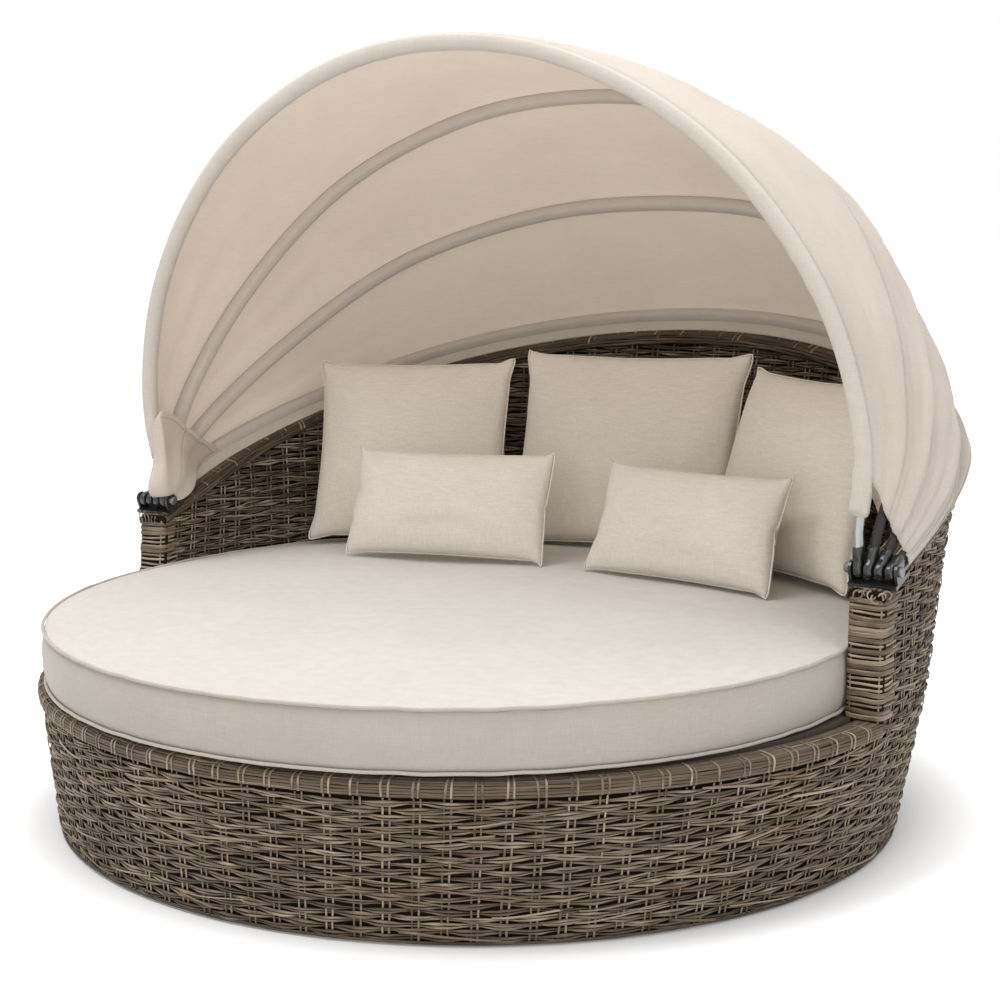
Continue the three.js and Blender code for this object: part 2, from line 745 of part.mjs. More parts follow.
// Inner face of the cloth between two neighbouring bows, at one station: puffed out a little
// between the bows and folded towards the hubs
function panelRow(order, i) {
  const start = onStation(clothStations[order][i], [0, clothSide]);
  const end = onStation(clothStations[order + 1][i], [0, clothSide]);
  const run = i / clothSegments;
  const nearHub = clampShare(1 - Math.min(run, 1 - run) / foldReachShare);
  const seamShare = seamGap / start.distanceTo(end);
  return steps(seamShare, 1 - seamShare, 4).map((share) => {
    const at = start.clone().lerp(end, share);
    const puff = clothPuff * sin(PI * share) * sin(PI * run);
    const fold = foldDepth * 4 * nearHub * (1 - nearHub) * sin(foldCount * PI * share);
    return at.addScaledVector(awayFromHub(at), puff + fold);
  });
}

const awayFromHub = (at) => at.clone().sub(new THREE.Vector3(0, hubDepth, hubHeight)).normalize();

function addPanels() {
  ['front', 'middle', 'rear'].forEach((name, order) => {
    const loops = clothShares[order].map((_, i) => {
      const inner = panelRow(order, i);
      const outer = inner.map((at) => at.clone().addScaledVector(awayFromHub(at), clothThickness));
      return [...inner, ...outer.reverse()];
    });
    addPiece(`canopy_panel_${name}`, loft(loops), canvas);
  });
}

// Cloth that hangs from the rear bow over the outside of the back: its inner face, top to bottom
function dropRow(station, grow) {
  const { x, y, z } = station.place;
  const turn = Math.atan2((y - backwardLeanShare * z) / depthShare, x);
  const fall = dropGrowth * Math.max(0, sin(turn)) ** dropGrowthPower;
  const loose = Math.min(1, fall / dropLooseFall);
  const billow = dropBillow * Math.abs(sin(dropFolds * turn)) + dropFlare * Math.abs(cos(turn));
  const low = -dropNearHub - fall;
  const shoulder = -bowDepth / 2 - dropShoulder;
  const corner = Math.max(wrapTop - wrapOverhang, mix(shoulder, low, dropCornerShare));
  const down = [
    [dropInset, corner],
    [dropInset + (dropSpread + billow / 2) * loose, (corner + low) / 2],
    [dropInset + (2 * dropSpread + billow) * loose, low],
  ];
  return [
    onStation(station, [-seamGap, clothSide + grow]),
    onStation(station, [shoulder, clothSide - dropShoulderFall + grow]),
    ...down.map(([outside, raised]) => topPoint(turn, -outside - grow, raised)),
  ];
}

function addDrop() {
  const stations = clothStations[bowNames.length - 1];
  const loops = stations.map((station) => [
    ...dropRow(station, 0),
    ...dropRow(station, clothThickness).reverse(),
  ]);
  addPiece('canopy_drop', loft(loops), canvas);
}

// Sleeves sewn under the bows; the front one wraps its bow as the hood's hem

function addSleeves() {
  bowNames.forEach((name, order) => {
    const loops = order === 0 ? hemLoops() : sleeveLoops(order);
    addPiece(`sleeve_${name}`, loft(loops), canvasHem);
  });
}

// The place on the cloth's inner face that lies a given way across from the bow, just under the cloth
function underCloth(row, station, way) {
  const across = (at) => Math.abs(at.clone().sub(station.place).dot(station.normal));
  let i = 0;
  while (i < row.length - 2 && across(row[i + 1]) < way) i += 1;
  const [near, far] = [across(row[i]), across(row[i + 1])];
  const at = row[i].clone().lerp(row[i + 1], (way - near) / (far - near));
  return at.addScaledVector(station.outward, -sleeveSeat);
}

const sleeveSide = bowDepth / 2 + sleeveFit;
const sleeveLow = -bowWidth / 2 - sleeveFit;

// Half of the sleeve's section, from its edge under the cloth to its low side
function sleeveHalf(station, row, sign, grow) {
  return [
    underCloth(row, station, sleeveSide + grow),
    onStation(station, [sign * (sleeveSide + grow), -sleeveWaistFall]),
    onStation(station, [sign * (sleeveSide + grow - sleeveCornerInset), sleeveLow - grow]),
  ];
}

function sleeveLoops(order) {
  const loops = clothStations[order].map((station, i) => {
    const ahead = panelRow(order - 1, i).reverse();
    const behind = order === bowNames.length - 1 ? dropRow(station, 0) : panelRow(order, i);
    const layer = (grow) => [
      ...sleeveHalf(station, ahead, 1, grow),
      ...sleeveHalf(station, behind, -1, grow).reverse(),
    ];
    return [...layer(sleeveThickness), ...layer(0).reverse()];
  });
  return loops.slice(1, -1);
}

function hemLoops() {
  const stations = bowStations(0, hemShares);
  return stations.map((station, i) => {
    const row = panelRow(0, Math.min(clothSegments, Math.max(0, i - 1)));
    const inPanel = i > 0 && i < stations.length - 1;
    const layer = (grow) => {
      const behind = sleeveHalf(station, row, -1, grow);
      behind[2].addScaledVector(station.outward, -hemHang);
      if (!inPanel) behind[0] = onStation(station, [-sleeveSide - grow, clothSide - hemCornerFall]);
      return [
        onStation(station, [0, clothSide + grow]),
        onStation(station, [sleeveSide + grow, clothSide - hemCornerFall + grow]),
        onStation(station, [sleeveSide + grow, -sleeveWaistFall]),
        onStation(station, [sleeveSide + grow - sleeveCornerInset, sleeveLow - hemHang - grow]),
        ...behind.reverse(),
      ];
    };
    return [...layer(sleeveThickness), ...layer(0).reverse()];
  });
}

// Seat cushion

function cushionOutline(turn, grow) {
  const fullness = cushionFrontFullness * Math.max(0, -sin(turn)) ** cushionFrontFullnessPower;
  const x = (cushionHalfWidth + fullness + grow) * cos(turn);
  const y = cushionDepthOffset + (cushionHalfDepth + grow) * sin(turn);
  return [x, y];
}

// Height of the crowned top at a share of the way from the middle to the edge
const crownAt = (share) => cushionTopEdge + cushionCrown * (1 - share ** cushionCrownPower);

function addCushion() {
  const bottom = deckTop + clearance;
  const turns = steps(0, 2 * PI, cushionSegments).slice(1);
  const ringAt = (share, height, grow) => turns.map((turn) => {
    const [x, y] = cushionOutline(turn, grow);
    return new THREE.Vector3(x * share, mix(cushionDepthOffset, y, share), height);
  });
  const sideShares = [0, 1 / 4, 1 / 2, 3 / 4];
  const loops = [
    ...cushionBottomShares.map((share) => ringAt(share, bottom, 0)),
    ...sideShares.map((share) => {
      const height = mix(cushionBottomEdge, cushionTopEdge, share);
      return ringAt(1, height, cushionSideBulge * sin(PI * share));
    }),
    ...cushionTopShares.map((share) => ringAt(share, crownAt(share), 0)),
  ];
  addPiece('seat_cushion', loft(loops), cushionCloth);
  for (const [label, height] of Object.entries({ top: cushionTopEdge, bottom: cushionBottomEdge })) {
    const cord = turns.map((turn) => circle(pipingRadius, 5).map(([out, rise]) => {
      const [x, y] = cushionOutline(turn, pipingRadius + 2 * clearance + out);
      return new THREE.Vector3(x, y, height + rise);
    }));
    addPiece(`cushion_piping_${label}`, loft(cord, true), cushionCloth);
  }
}

// Loose pillows

// Plump, drawn in along the sides and pointed at the corners; stands with its seam upright
function pillowGeometry({ widthShare, heightShare, thicknessShare }) {
  const [width, height, thickness] = [widthShare, heightShare, thicknessShare]
    .map((share) => baseHalfWidth * share);
  const outline = (a, b) => a * (1 - pillowDrawInShare * (1 - b * b) * a * a);
  const plump = (a, b) => Math.max(0, (1 - a ** 4) * (1 - b ** 4)) ** pillowPlumpPower;
  const marks = steps(-1, 1, pillowSegments).map((mark) => Math.sign(mark) * Math.abs(mark) ** 0.8);
  const face = (facing) => marks.map((v) => marks.map((u) => {
    const half = (pillowSeam + (thickness - pillowSeam) * plump(u, v)) / 2;
    return new THREE.Vector3(width / 2 * outline(u, v), facing * half, height / 2 * (1 + outline(v, u)));
  }));
  const [front, back] = [face(-1), face(1)];
  return loft(front.map((line, i) => [...line, ...back[i].reverse()]));
}

// The crown as its rings of facets have it
function facetedCrownAt(share) {
  const ring = cushionTopShares.findIndex((inner) => inner <= share);
  if (ring < 0) return crownAt(cushionTopShares.at(-1));
  const inner = cushionTopShares[ring];
  const outer = cushionTopShares[Math.max(0, ring - 1)];
  const way = outer === inner ? 0 : (share - inner) / (outer - inner);
  return mix(crownAt(inner), crownAt(outer), way);
}

// Lets a pillow down until it just clears the crowned seat
function settle(geometry) {
  const p = geometry.getAttribute('position');
  let lowest = Infinity;
  for (let i = 0; i < p.count; i += 1) {
    const x = p.getX(i) / cushionHalfWidth;
    const y = (p.getY(i) - cushionDepthOffset) / cushionHalfDepth;
    lowest = Math.min(lowest, p.getZ(i) - facetedCrownAt(Math.min(1, Math.hypot(x, y))));
  }
  return geometry.translate(0, 0, clearance - lowest);
}

function addPillows() {
  for (const [name, { size, xShare, yShare, yaw, lean }] of Object.entries(pillowPlaces)) {
    const x = baseHalfWidth * xShare;
    const y = baseHalfWidth * yShare;
    const pillow = pillowGeometry(size);
    pillow.rotateX(THREE.MathUtils.degToRad(-lean)).rotateZ(THREE.MathUtils.degToRad(yaw));
    addPiece(name, settle(pillow.translate(x, y, cushionTopEdge)), pillowCloth);
  }
}

addFrame();
addBeamsAndFeet();
addDeck();
addSkins();
addRim();
addBindings();
addHubs();
addBows();
addPanels();
addDrop();
addSleeves();
addCushion();
addPillows();

export default daybed;
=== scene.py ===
import math

import bpy
import numpy as np
from mathutils import Matrix, Vector


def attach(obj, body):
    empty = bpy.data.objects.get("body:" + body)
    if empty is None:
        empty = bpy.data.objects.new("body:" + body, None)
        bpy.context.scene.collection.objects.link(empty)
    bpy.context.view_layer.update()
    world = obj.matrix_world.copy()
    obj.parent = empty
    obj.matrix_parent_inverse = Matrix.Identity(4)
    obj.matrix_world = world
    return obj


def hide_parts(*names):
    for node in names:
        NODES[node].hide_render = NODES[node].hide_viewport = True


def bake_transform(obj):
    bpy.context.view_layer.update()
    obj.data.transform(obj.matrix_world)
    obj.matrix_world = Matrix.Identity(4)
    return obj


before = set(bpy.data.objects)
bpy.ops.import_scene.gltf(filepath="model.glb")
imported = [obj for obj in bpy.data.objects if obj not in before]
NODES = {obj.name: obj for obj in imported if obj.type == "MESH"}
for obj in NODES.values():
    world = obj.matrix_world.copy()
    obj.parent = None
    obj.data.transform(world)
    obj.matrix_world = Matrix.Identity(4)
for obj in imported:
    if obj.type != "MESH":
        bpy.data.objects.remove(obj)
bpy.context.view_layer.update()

# Sizes of the shell, the hubs and the bows, in metres, as in the CAD source
BASE_HALF = 0.800
DEPTH_SHARE = 0.9275
OUT_LEAN = 0.1676
BACK_LEAN = 0.107
RIM_TOP = 0.266
DRUM_TOP = 0.240
WALL = 0.063
ARM_DRAW_IN = 0.047
ARM_TURN = math.radians(-3.2)
HUB_Y, HUB_Z = 0.0167, 0.515
HUB = np.array([0, HUB_Y, HUB_Z])
BACK_SLOPE = math.radians(20.3)
WRAP_BOTTOM = -0.038
BOW_NAMES = ("front", "second", "third", "rear")
BOW_ANGLES = [math.radians(a) for a in (94.5, 62.8, 40.2, 20.3)]
BODIES = ["front_bow", "second_bow", "third_bow", "daybed"]
BOW_SET_IN = 0.014
BOW_PITCH = 0.019
BOW_REACH = BASE_HALF * 1.12
BOW_COURSE = [(15, 0.926, 0.010), (32, 0.966, 0.004), (52, 0.989, 0.018), (72, 0.999, 0.014), (90, 1.0, 0.009)]
CLOTH_SIDE = 0.0106
ARMS = (("right", 1), ("left", -1))


def unit(v):
    return v / np.linalg.norm(v, axis=-1, keepdims=True)


def lengths(points):
    """Length along a line up to each of its points."""
    return np.concatenate([[0], np.cumsum(np.linalg.norm(np.diff(points, axis=0), axis=1))])


def softened(points, marks):
    """Points at shares of the length of a line with softened corners."""
    points = np.asarray(points, float)
    for _ in range(2):
        soft = [points[0]]
        for a, b in zip(points[:-1], points[1:]):
            soft += [a * 0.75 + b * 0.25, a * 0.25 + b * 0.75]
        points = np.array(soft + [points[-1]])
    length = lengths(points)
    return np.stack([np.interp(np.asarray(marks) * length[-1], length, column) for column in points.T], 1)


def round_turns(count):
    return np.linspace(0, 2 * math.pi, count, endpoint=False)


def waves(u, v, seed, scale, count=9):
    """Smooth random ripples about 1 high over a surface, of roughly the given size."""
    draw = np.random.default_rng(seed)
    total = 0
    for _ in range(count):
        way = draw.uniform(0, 2 * math.pi)
        rate = draw.uniform(0.6, 1.6) * 2 * math.pi / scale
        total = total + np.sin(rate * (u * math.cos(way) + v * math.sin(way)) + draw.uniform(0, 6.28))
    return total / math.sqrt(count)


# Materials

def add(tree, kind, inputs=(), **props):
    node = tree.nodes.new("ShaderNode" + kind)
    for key, value in props.items():
        setattr(node, key, value)
    for key, value in dict(inputs).items():
        if isinstance(value, bpy.types.NodeSocket):
            tree.links.new(value, node.inputs[key])
        else:
            node.inputs[key].default_value = value
    return node


def calc(tree, operation, a, b):
    return add(tree, "Math", {0: a, 1: b}, operation=operation).outputs[0]


def scaled(tree, vector, scale):
    return add(tree, "VectorMath", {0: vector, 1: scale}, operation="MULTIPLY").outputs[0]


def noise(tree, vector, scale=1.0, detail=2.0, **more):
    return add(tree, "TexNoise", {"Vector": vector, "Scale": scale, "Detail": detail, **more}).outputs[0]


def ramp(tree, factor, stops):
    node = add(tree, "ValToRGB", {"Fac": factor})
    marks = node.color_ramp.elements
    while len(marks) < len(stops):
        marks.new(0.5)
    for mark, (at, colour) in zip(marks, stops):
        mark.position = at
        mark.color = (*colour, 1)
    return node.outputs["Color"]


def mixed(tree, share, a, b, blend="MIX"):
    return add(tree, "Mix", {0: share, 6: a, 7: b}, data_type="RGBA", blend_type=blend).outputs[2]


def new_material(name, roughness, **sockets):
    m = bpy.data.materials.new(name)
    m.use_nodes = True
    shader = m.node_tree.nodes["Principled BSDF"]
    shader.inputs["Roughness"].default_value = roughness
    for key, value in sockets.items():
        shader.inputs[key.replace("_", " ")].default_value = value
    return m, m.node_tree, shader


def surface_of(tree, shader, colour, height, strength, distance):
    """Links the colour and a bump of the given height to the shader."""
    tree.links.new(colour, shader.inputs["Base Color"])
    bump = add(tree, "Bump", {"Strength": strength, "Distance": distance, "Height": height})
    tree.links.new(bump.outputs[0], shader.inputs["Normal"])


def strand_material(name, dark, mid, light, warm):
    """Woven resin strand: colour from each strand's own tint, streaks and grooves along it."""
    m, tree, shader = new_material(name, 0.55, Specular_IOR_Level=0.35)
    tint = add(tree, "Attribute", attribute_name="tint").outputs["Color"]
    along = add(tree, "Attribute", attribute_name="along").outputs["Vector"]
    parts = add(tree, "SeparateColor", {0: tint}).outputs
    fibre = noise(tree, scaled(tree, along, (0.25, 3.2, 1)))
    shade = parts[0]
    for grain, share in ((noise(tree, along, detail=3.0), 0.7), (fibre, 1.1)):
        shade = calc(tree, "ADD", shade, calc(tree, "MULTIPLY", calc(tree, "SUBTRACT", grain, 0.5), share))
    colour = ramp(tree, shade, [(0.0, dark), (0.5, mid), (1.0, light)])
    surface_of(tree, shader, mixed(tree, parts[1], colour, (*warm, 1)), fibre, 0.6, 0.0010)
    return m


def cloth_material(name, colour, dark, thread, soil=0.06, glow=0):
    """Woven cloth: threads both ways, faint slubs, uneven colour; glow is the share of light let through."""
    m, tree, shader = new_material(name, 0.85, Specular_IOR_Level=0.2, Sheen_Weight=0.25, Sheen_Roughness=0.5)
    place = add(tree, "TexCoord").outputs["Object"]
    base = ramp(tree, noise(tree, place, 5.0, 4.0, Roughness=0.6), [(0.3, dark), (0.7, colour)])
    slubs = calc(tree, "MULTIPLY", *(noise(tree, scaled(tree, place, way))
                                     for way in ((40, 40, 500), (500, 500, 40))))
    soiled = ramp(tree, slubs, [(0.10, (1 - 2 * soil,) * 3), (0.42, (1, 1, 1))])
    threads = calc(tree, "ADD", *(add(tree, "TexWave", {"Vector": place, "Scale": 1 / thread / 6.28,
                                                        "Distortion": 0.6, "Detail": 1.0},
                                      bands_direction=way).outputs[0] for way in "XZ"))
    surface_of(tree, shader, mixed(tree, 1.0, base, soiled, "MULTIPLY"), calc(tree, "ADD", threads, slubs),
               0.14, 0.0005)
    if glow:
        through = add(tree, "BsdfTranslucent", {"Color": (*colour, 1)})
        both = add(tree, "MixShader", {0: glow, 1: shader.outputs[0], 2: through.outputs[0]})
        tree.links.new(both.outputs[0], tree.nodes["Material Output"].inputs["Surface"])
    return m


def plain_material(name, colour, roughness, metal, spread, grain, strength, **more):
    """Moulded plastic, coated or drawn metal: uneven gloss and a fine grain."""
    m, tree, shader = new_material(name, roughness, Metallic=metal, **more)
    uneven = noise(tree, scaled(tree, add(tree, "TexCoord").outputs["Object"], grain), detail=4.0)
    low = tuple(c * (1 - spread) for c in colour)
    high = tuple(min(1, c * (1 + spread)) for c in colour)
    surface_of(tree, shader, ramp(tree, uneven, [(0.3, low), (0.7, high)]), uneven, strength, 0.0004)
    span = add(tree, "MapRange", {0: uneven, 1: 0.3, 2: 0.7, 3: roughness * 0.8, 4: roughness * 1.2})
    tree.links.new(span.outputs[0], shader.inputs["Roughness"])
    return m


WICKER = strand_material("wicker", (0.024, 0.017, 0.011), (0.142, 0.108, 0.073), (0.50, 0.41, 0.30),
                         (0.16, 0.095, 0.060))
# Darker copy of the wicker for the inside of the back and the binding on its top: painted shade, as the hood
# shades them.
WICKER_SHADED = strand_material("wicker_inner", (0.014, 0.010, 0.007), (0.118, 0.090, 0.061),
                              (0.56, 0.47, 0.345), (0.13, 0.078, 0.05))
# Near-black for the gaps in the weave: painted shadow behind and under the strands.
SHADOW_CORE = plain_material("wicker_shadow", (0.013, 0.0085, 0.0055), 0.9, 0, 0.3, (60, 60, 400), 0.4,
                      Specular_IOR_Level=0.1)
CANVAS = cloth_material("canvas", (0.86, 0.80, 0.735), (0.79, 0.725, 0.66), 0.0009, glow=0.42)
HEM = cloth_material("hem", (0.80, 0.745, 0.68), (0.76, 0.70, 0.635), 0.0009, glow=0.25)
CUSHION = cloth_material("cushion", (0.64, 0.61, 0.57), (0.61, 0.58, 0.54), 0.0011)
# Darker copy of the cushion cloth for its sides, base and cords: painted shade, as the light falls from above.
CUSHION_SHADED_SIDE = cloth_material("cushion_side_painted_shade", (0.50, 0.455, 0.405), (0.47, 0.425, 0.375), 0.0011)
PILLOW = cloth_material("pillow", (0.85, 0.785, 0.70), (0.81, 0.745, 0.66), 0.0010, soil=0.08)
# Darker copy of the pillow cloth for the lumbar pillows: painted shade, to even them with the back pillows that
# the hood shades.
LUMBAR_SHADED = cloth_material("lumbar", (0.74, 0.685, 0.62), (0.70, 0.645, 0.58), 0.0010, soil=0.08)
PLASTIC = plain_material("black_plastic", (0.0095, 0.010, 0.0105), 0.30, 0, 0.2, (70, 70, 70), 0.03,
                         Coat_Weight=0.35)
TUBE = plain_material("bow_tube", (0.34, 0.345, 0.35), 0.30, 0.85, 0.06, (90, 90, 12), 0.08)
# Near-black copy of the bow tube for the bows behind the front one: painted shade, as they sit in the hood's
# shadow.
TUBE_SHADED = plain_material("bow_tube_painted_shade", (0.020, 0.018, 0.016), 0.5, 0.3, 0.1, (90, 90, 12), 0.08)
STEEL = plain_material("steel", (0.20, 0.20, 0.195), 0.35, 1.0, 0.1, (150, 150, 150), 0.1)
METAL = plain_material("frame_metal", (0.05, 0.042, 0.035), 0.5, 0.2, 0.2, (180, 180, 180), 0.3)
DECK = plain_material("deck", (0.07, 0.058, 0.046), 0.6, 0.1, 0.2, (12, 160, 160), 0.4)


# Mesh building

def mesh_object(name, verts, faces, material, attributes=()):
    mesh = bpy.data.meshes.new(name)
    mesh.from_pydata(np.asarray(verts, float).tolist(), [], faces)
    mesh.polygons.foreach_set("use_smooth", [True] * len(mesh.polygons))
    for key, kind, values in attributes:
        data = mesh.attributes.new(key, kind, "POINT").data
        data.foreach_set("color" if "COLOR" in kind else "vector", np.asarray(values, np.float32).ravel())
    mesh.materials.append(material)
    piece = bpy.data.objects.new(name, mesh)
    bpy.context.scene.collection.objects.link(piece)
    return piece


def faces_between(index):
    """Faces of a grid of point numbers."""
    corners = index[:-1, :-1], index[:-1, 1:], index[1:, 1:], index[1:, :-1]
    return np.stack(corners, -1).reshape(-1, 4).tolist()


def grid_faces(rows, columns, closed_rows=False, closed_columns=False, start=0):
    index = start + np.arange(rows * columns).reshape(rows, columns)
    if closed_rows:
        index = np.concatenate([index, index[:1]])
    if closed_columns:
        index = np.concatenate([index, index[:, :1]], 1)
    return faces_between(index)


def tube_faces(n, k, closed=False, start=0):
    """Faces round n rings of k points, with a cap at each end unless the run closes on itself."""
    faces = grid_faces(n, k, closed, True, start)
    if not closed:
        faces += [tuple(range(start + k - 1, start - 1, -1)), tuple(range(start + (n - 1) * k, start + n * k))]
    return faces


def swept(centre, side, out, section):
    """Rings of a section along a line, across its two directions."""
    return np.stack([centre + side * a + out * b for a, b in section], 1)


def tube(name, rings, material, closed=False):
    return mesh_object(name, rings.reshape(-1, 3), tube_faces(*rings.shape[:2], closed), material)


def thicken(piece, thickness, offset):
    thick = piece.modifiers.new("thickness", "SOLIDIFY")
    thick.thickness = thickness
    thick.offset = offset
    return piece


def subdivide(piece):
    smooth = piece.modifiers.new("smooth", "SUBSURF")
    smooth.levels = smooth.render_levels = 1
    return piece


def place_piece(piece, body="daybed", node=None):
    """Hides the CAD node that the piece replaces, if any, and gives the piece its body."""
    if node:
        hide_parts(node)
    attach(piece, body)
    return piece


# Sections of strands, as shares of their half width and half thickness
FLAT_SECTION = [(1, 0), (0.6, 1), (-0.6, 1), (-1, 0), (-0.6, -1), (0.6, -1)]
FIBRE_SECTION = [(1, -0.3), (0.38, 1), (-0.38, 1), (-1, -0.3)]
ROUND_SECTION = [(math.cos(math.pi * k / 4), math.sin(math.pi * k / 4)) for k in range(8)]
GRAIN_RATE = 22


class Strands:
    """Many closed strands gathered into one mesh, each with its own tint."""

    def __init__(self, seed):
        self.draw = np.random.default_rng(seed)
        self.verts, self.faces, self.tints, self.alongs, self.count = [], [], [], [], 0

    def run(self, centre, side, out, width, thick, tint, warm=0.0, closed=False, section=FLAT_SECTION):
        """A strand along centre: width and thick are its halves, side and out its two directions."""
        n, k = len(centre), len(section)
        width, thick, tint, warm = (np.broadcast_to(np.asarray(x, float), n)
                                    for x in (width, thick, tint, warm))
        rings = swept(centre, side * width[:, None], out * thick[:, None], section)
        self.verts.append(rings.reshape(-1, 3))
        self.faces += tube_faces(n, k, closed, self.count)
        self.count += n * k
        shade = np.repeat(tint, k)
        self.tints.append(np.stack([shade, np.repeat(warm, k), shade * 0, shade * 0 + 1], 1))
        length = np.repeat(lengths(centre), k) * GRAIN_RATE
        across = np.tile([a for a, _ in section], n) * 2
        self.alongs.append(np.stack([length, across, np.full(n * k, self.between(0, 90))], 1))

    def between(self, low, high):
        return self.draw.uniform(low, high)

    def piece(self, name, material):
        return mesh_object(name, np.concatenate(self.verts), self.faces, material,
                           [("tint", "FLOAT_COLOR", np.concatenate(self.tints)),
                            ("along", "FLOAT_VECTOR", np.concatenate(self.alongs))])

    def shades(self, turns, spread=0.16, middle=0.5):
        """Tint that wanders along a strand."""
        slow = waves(turns, turns * 0, int(self.draw.integers(1 << 30)), 0.3, 5)
        return middle + self.draw.normal(0, spread * 0.7) + spread * 0.6 * slow


# Shell surface: a turn round it, a height, and an inset from its outside

def shell(turn, height, inset):
    risen = np.clip((height - RIM_TOP) / (HUB_Z - RIM_TOP), 0, 1)
    half = BASE_HALF + OUT_LEAN * height - ARM_DRAW_IN * risen * np.abs(np.cos(turn)) ** 10
    x = (half - inset) * np.cos(turn)
    y = BACK_LEAN * height + (DEPTH_SHARE * half - inset) * np.sin(turn)
    return np.stack(np.broadcast_arrays(x, y, height), -1)


def top_point(turn, inset, raised):
    """Point of the shell at a distance over the sloping plane of the back's top."""
    turn = np.asarray(turn, float)
    height = np.full(turn.shape, HUB_Z)
    for _ in range(12):
        y = shell(turn, height, inset)[..., 1]
        height = HUB_Z + raised / math.cos(BACK_SLOPE) + (y - HUB_Y) * math.tan(BACK_SLOPE)
    return shell(turn, height, inset)


def top_height(turn, inset, raised):
    return top_point(turn, inset, raised)[..., 2]


def shell_axes(turn, height, inset):
    """Directions along the turn, up the shell and out of it."""
    e = 1e-4
    along = unit(shell(turn + e, height, inset) - shell(turn - e, height, inset))
    up = unit(shell(turn, height + e, inset) - shell(turn, height - e, inset))
    return along, up, unit(np.cross(along, up))


# Wicker: weavers of two fibres pass before and behind pairs of stakes, one row against the next

STAKES = 108
STAKE_STEP = 2 * math.pi / STAKES
STAKE_TURNS = np.arange(STAKES) * STAKE_STEP
BACK_STAKES = np.array(sorted(set(round(k * STAKE_STEP, 9) for k in range(-STAKES, STAKES)
                                  if ARM_TURN + 0.015 < k * STAKE_STEP < math.pi - ARM_TURN - 0.015)))
STAKE_APART = 0.0054
STAKE_HALF = 0.0018
PER_STAKE = 4
ROW_PITCH = 0.0109
FIRST_ROW = 0.013
WEAVE_DEPTH = 0.0034
WEAVER_HALF = 0.0043
WEAVER_SWELL = 0.0012
WRAP_COVER = WRAP_BOTTOM + 0.001
STAKE_TOP = WRAP_BOTTOM + 0.004
OUTER = 0.0036
INNER = WALL - 0.0036
FOOT = 0.006
FOOT_STRAND, FOOT_INSET = 0.0062, 0.0020
SEAT_LINE = 0.276
STRAY_TURNS = (0.0, 2.9)
OUTER_CORE, INNER_CORE, CORE_THICKNESS = 0.0085, 0.0525, 0.0015


def weave_row(strands, i, low, high, inset, facing, closed=False):
    """One row of weave between two turns. facing 1 looks out of the shell, -1 into it."""
    count = int(round((high - low) / STAKE_STEP * PER_STAKE))
    turn = np.linspace(low, high, count, endpoint=False) if closed else np.linspace(low, high, count + 1)
    wave = np.cos(math.pi * (turn / STAKE_STEP + i))
    proud = np.sign(wave) * np.abs(wave) ** 0.75
    jitter = 1 + 0.16 * waves(turn, i * 3.1, 23, 0.09, 5)
    depth = WEAVE_DEPTH * proud * np.clip(jitter, 0.7, 1.25)
    height = FIRST_ROW + i * ROW_PITCH + 0.0013 * waves(turn, i * 7.3, 11, 0.16, 7)
    centre = shell(turn, height, inset - facing * depth)
    _, up, out = shell_axes(turn, height, inset)
    width = (WEAVER_HALF + WEAVER_SWELL * proud) * (1 + 0.2 * waves(turn, i * 5.7, 37, 0.09, 6))
    tint = strands.shades(turn)
    warm = np.clip(0.9 * waves(turn, i * 9.1, 29, 0.35, 6) - 0.75, 0.06, 0.6)
    for part in (-1, 1):
        loose = part * width * 0.50 + 0.0005 * waves(turn, i * 4.1 + part, 53, 0.05, 5)
        shade = tint + 0.14 * waves(turn, i * 2.9 + part * 5, 59, 0.08, 5)
        strands.run(centre + up * loose[:, None], up, out * facing, width * 0.47, 0.0012, shade, warm, closed,
                    FIBRE_SECTION)


def back_rows(strands, first, inset, facing):
    """Rows of the back from the first one up, each between the turns where it is under the top's binding."""
    turns = np.linspace(ARM_TURN, math.pi / 2, 600)
    under = top_height(turns, inset, WRAP_COVER)
    last = int((top_height(np.array([math.pi / 2]), 0, WRAP_BOTTOM)[0] - FIRST_ROW) / ROW_PITCH)
    for i in range(first, last + 1):
        above = under > FIRST_ROW + i * ROW_PITCH
        if above.any():
            start = turns[np.argmax(above)]
            weave_row(strands, i, start, math.pi - start, inset, facing)


def weave_stakes(strands, turns, bottom, tops, inset, facing):
    """Pairs of thin light stakes, one pair at each turn."""
    for turn, top in zip(turns, tops):
        height = np.linspace(bottom, top, max(3, int((top - bottom) / 0.018)))
        for side in (-1, 1):
            wander = 0.0007 * waves(height, side * 3.3 + turn * 40, 41, 0.1, 4)
            lean = turn + (side * STAKE_APART + wander) / BASE_HALF
            along, _, out = shell_axes(lean, height, inset)
            strands.run(shell(lean, height, inset), along, out * facing, STAKE_HALF, 0.0010,
                        strands.shades(height, 0.2, 0.62), strands.between(0, 0.15))


def strays(strands, count, turns, heights, inset, facing):
    """Thin loose ends that wander from one row to the next."""
    share = np.linspace(0, 1, 14)
    arch = np.sin(np.pi * share)
    for _ in range(count):
        start = strands.between(*turns)
        turn = np.linspace(start, start + STAKE_STEP * strands.between(2, 4), 14)
        rise = ROW_PITCH * strands.draw.choice([-1, 1]) * (3 * share ** 2 - 2 * share ** 3)
        height = strands.between(*heights) + rise
        proud = WEAVE_DEPTH + 0.0016 * arch - 0.0035 * (1 - arch) ** 2
        centre = shell(turn, height, inset - facing * proud)
        _, up, out = shell_axes(turn, height, inset)
        strands.run(centre, up, out * facing, strands.between(0.0010, 0.0022), 0.0009,
                    strands.between(0.45, 0.95), strands.between(0, 0.5))


def backing(name, turns, low, high, inset, closed=False):
    """Dark thin wall, a painted shadow, that closes the view through the weave."""
    heights = low + (high - low)[:, None] * np.linspace(0, 1, 8)
    front = shell(turns[:, None], heights, inset)
    back = shell(turns[:, None], heights[:, ::-1], inset + CORE_THICKNESS)
    return tube(name, np.concatenate([front, back], 1), SHADOW_CORE, closed)


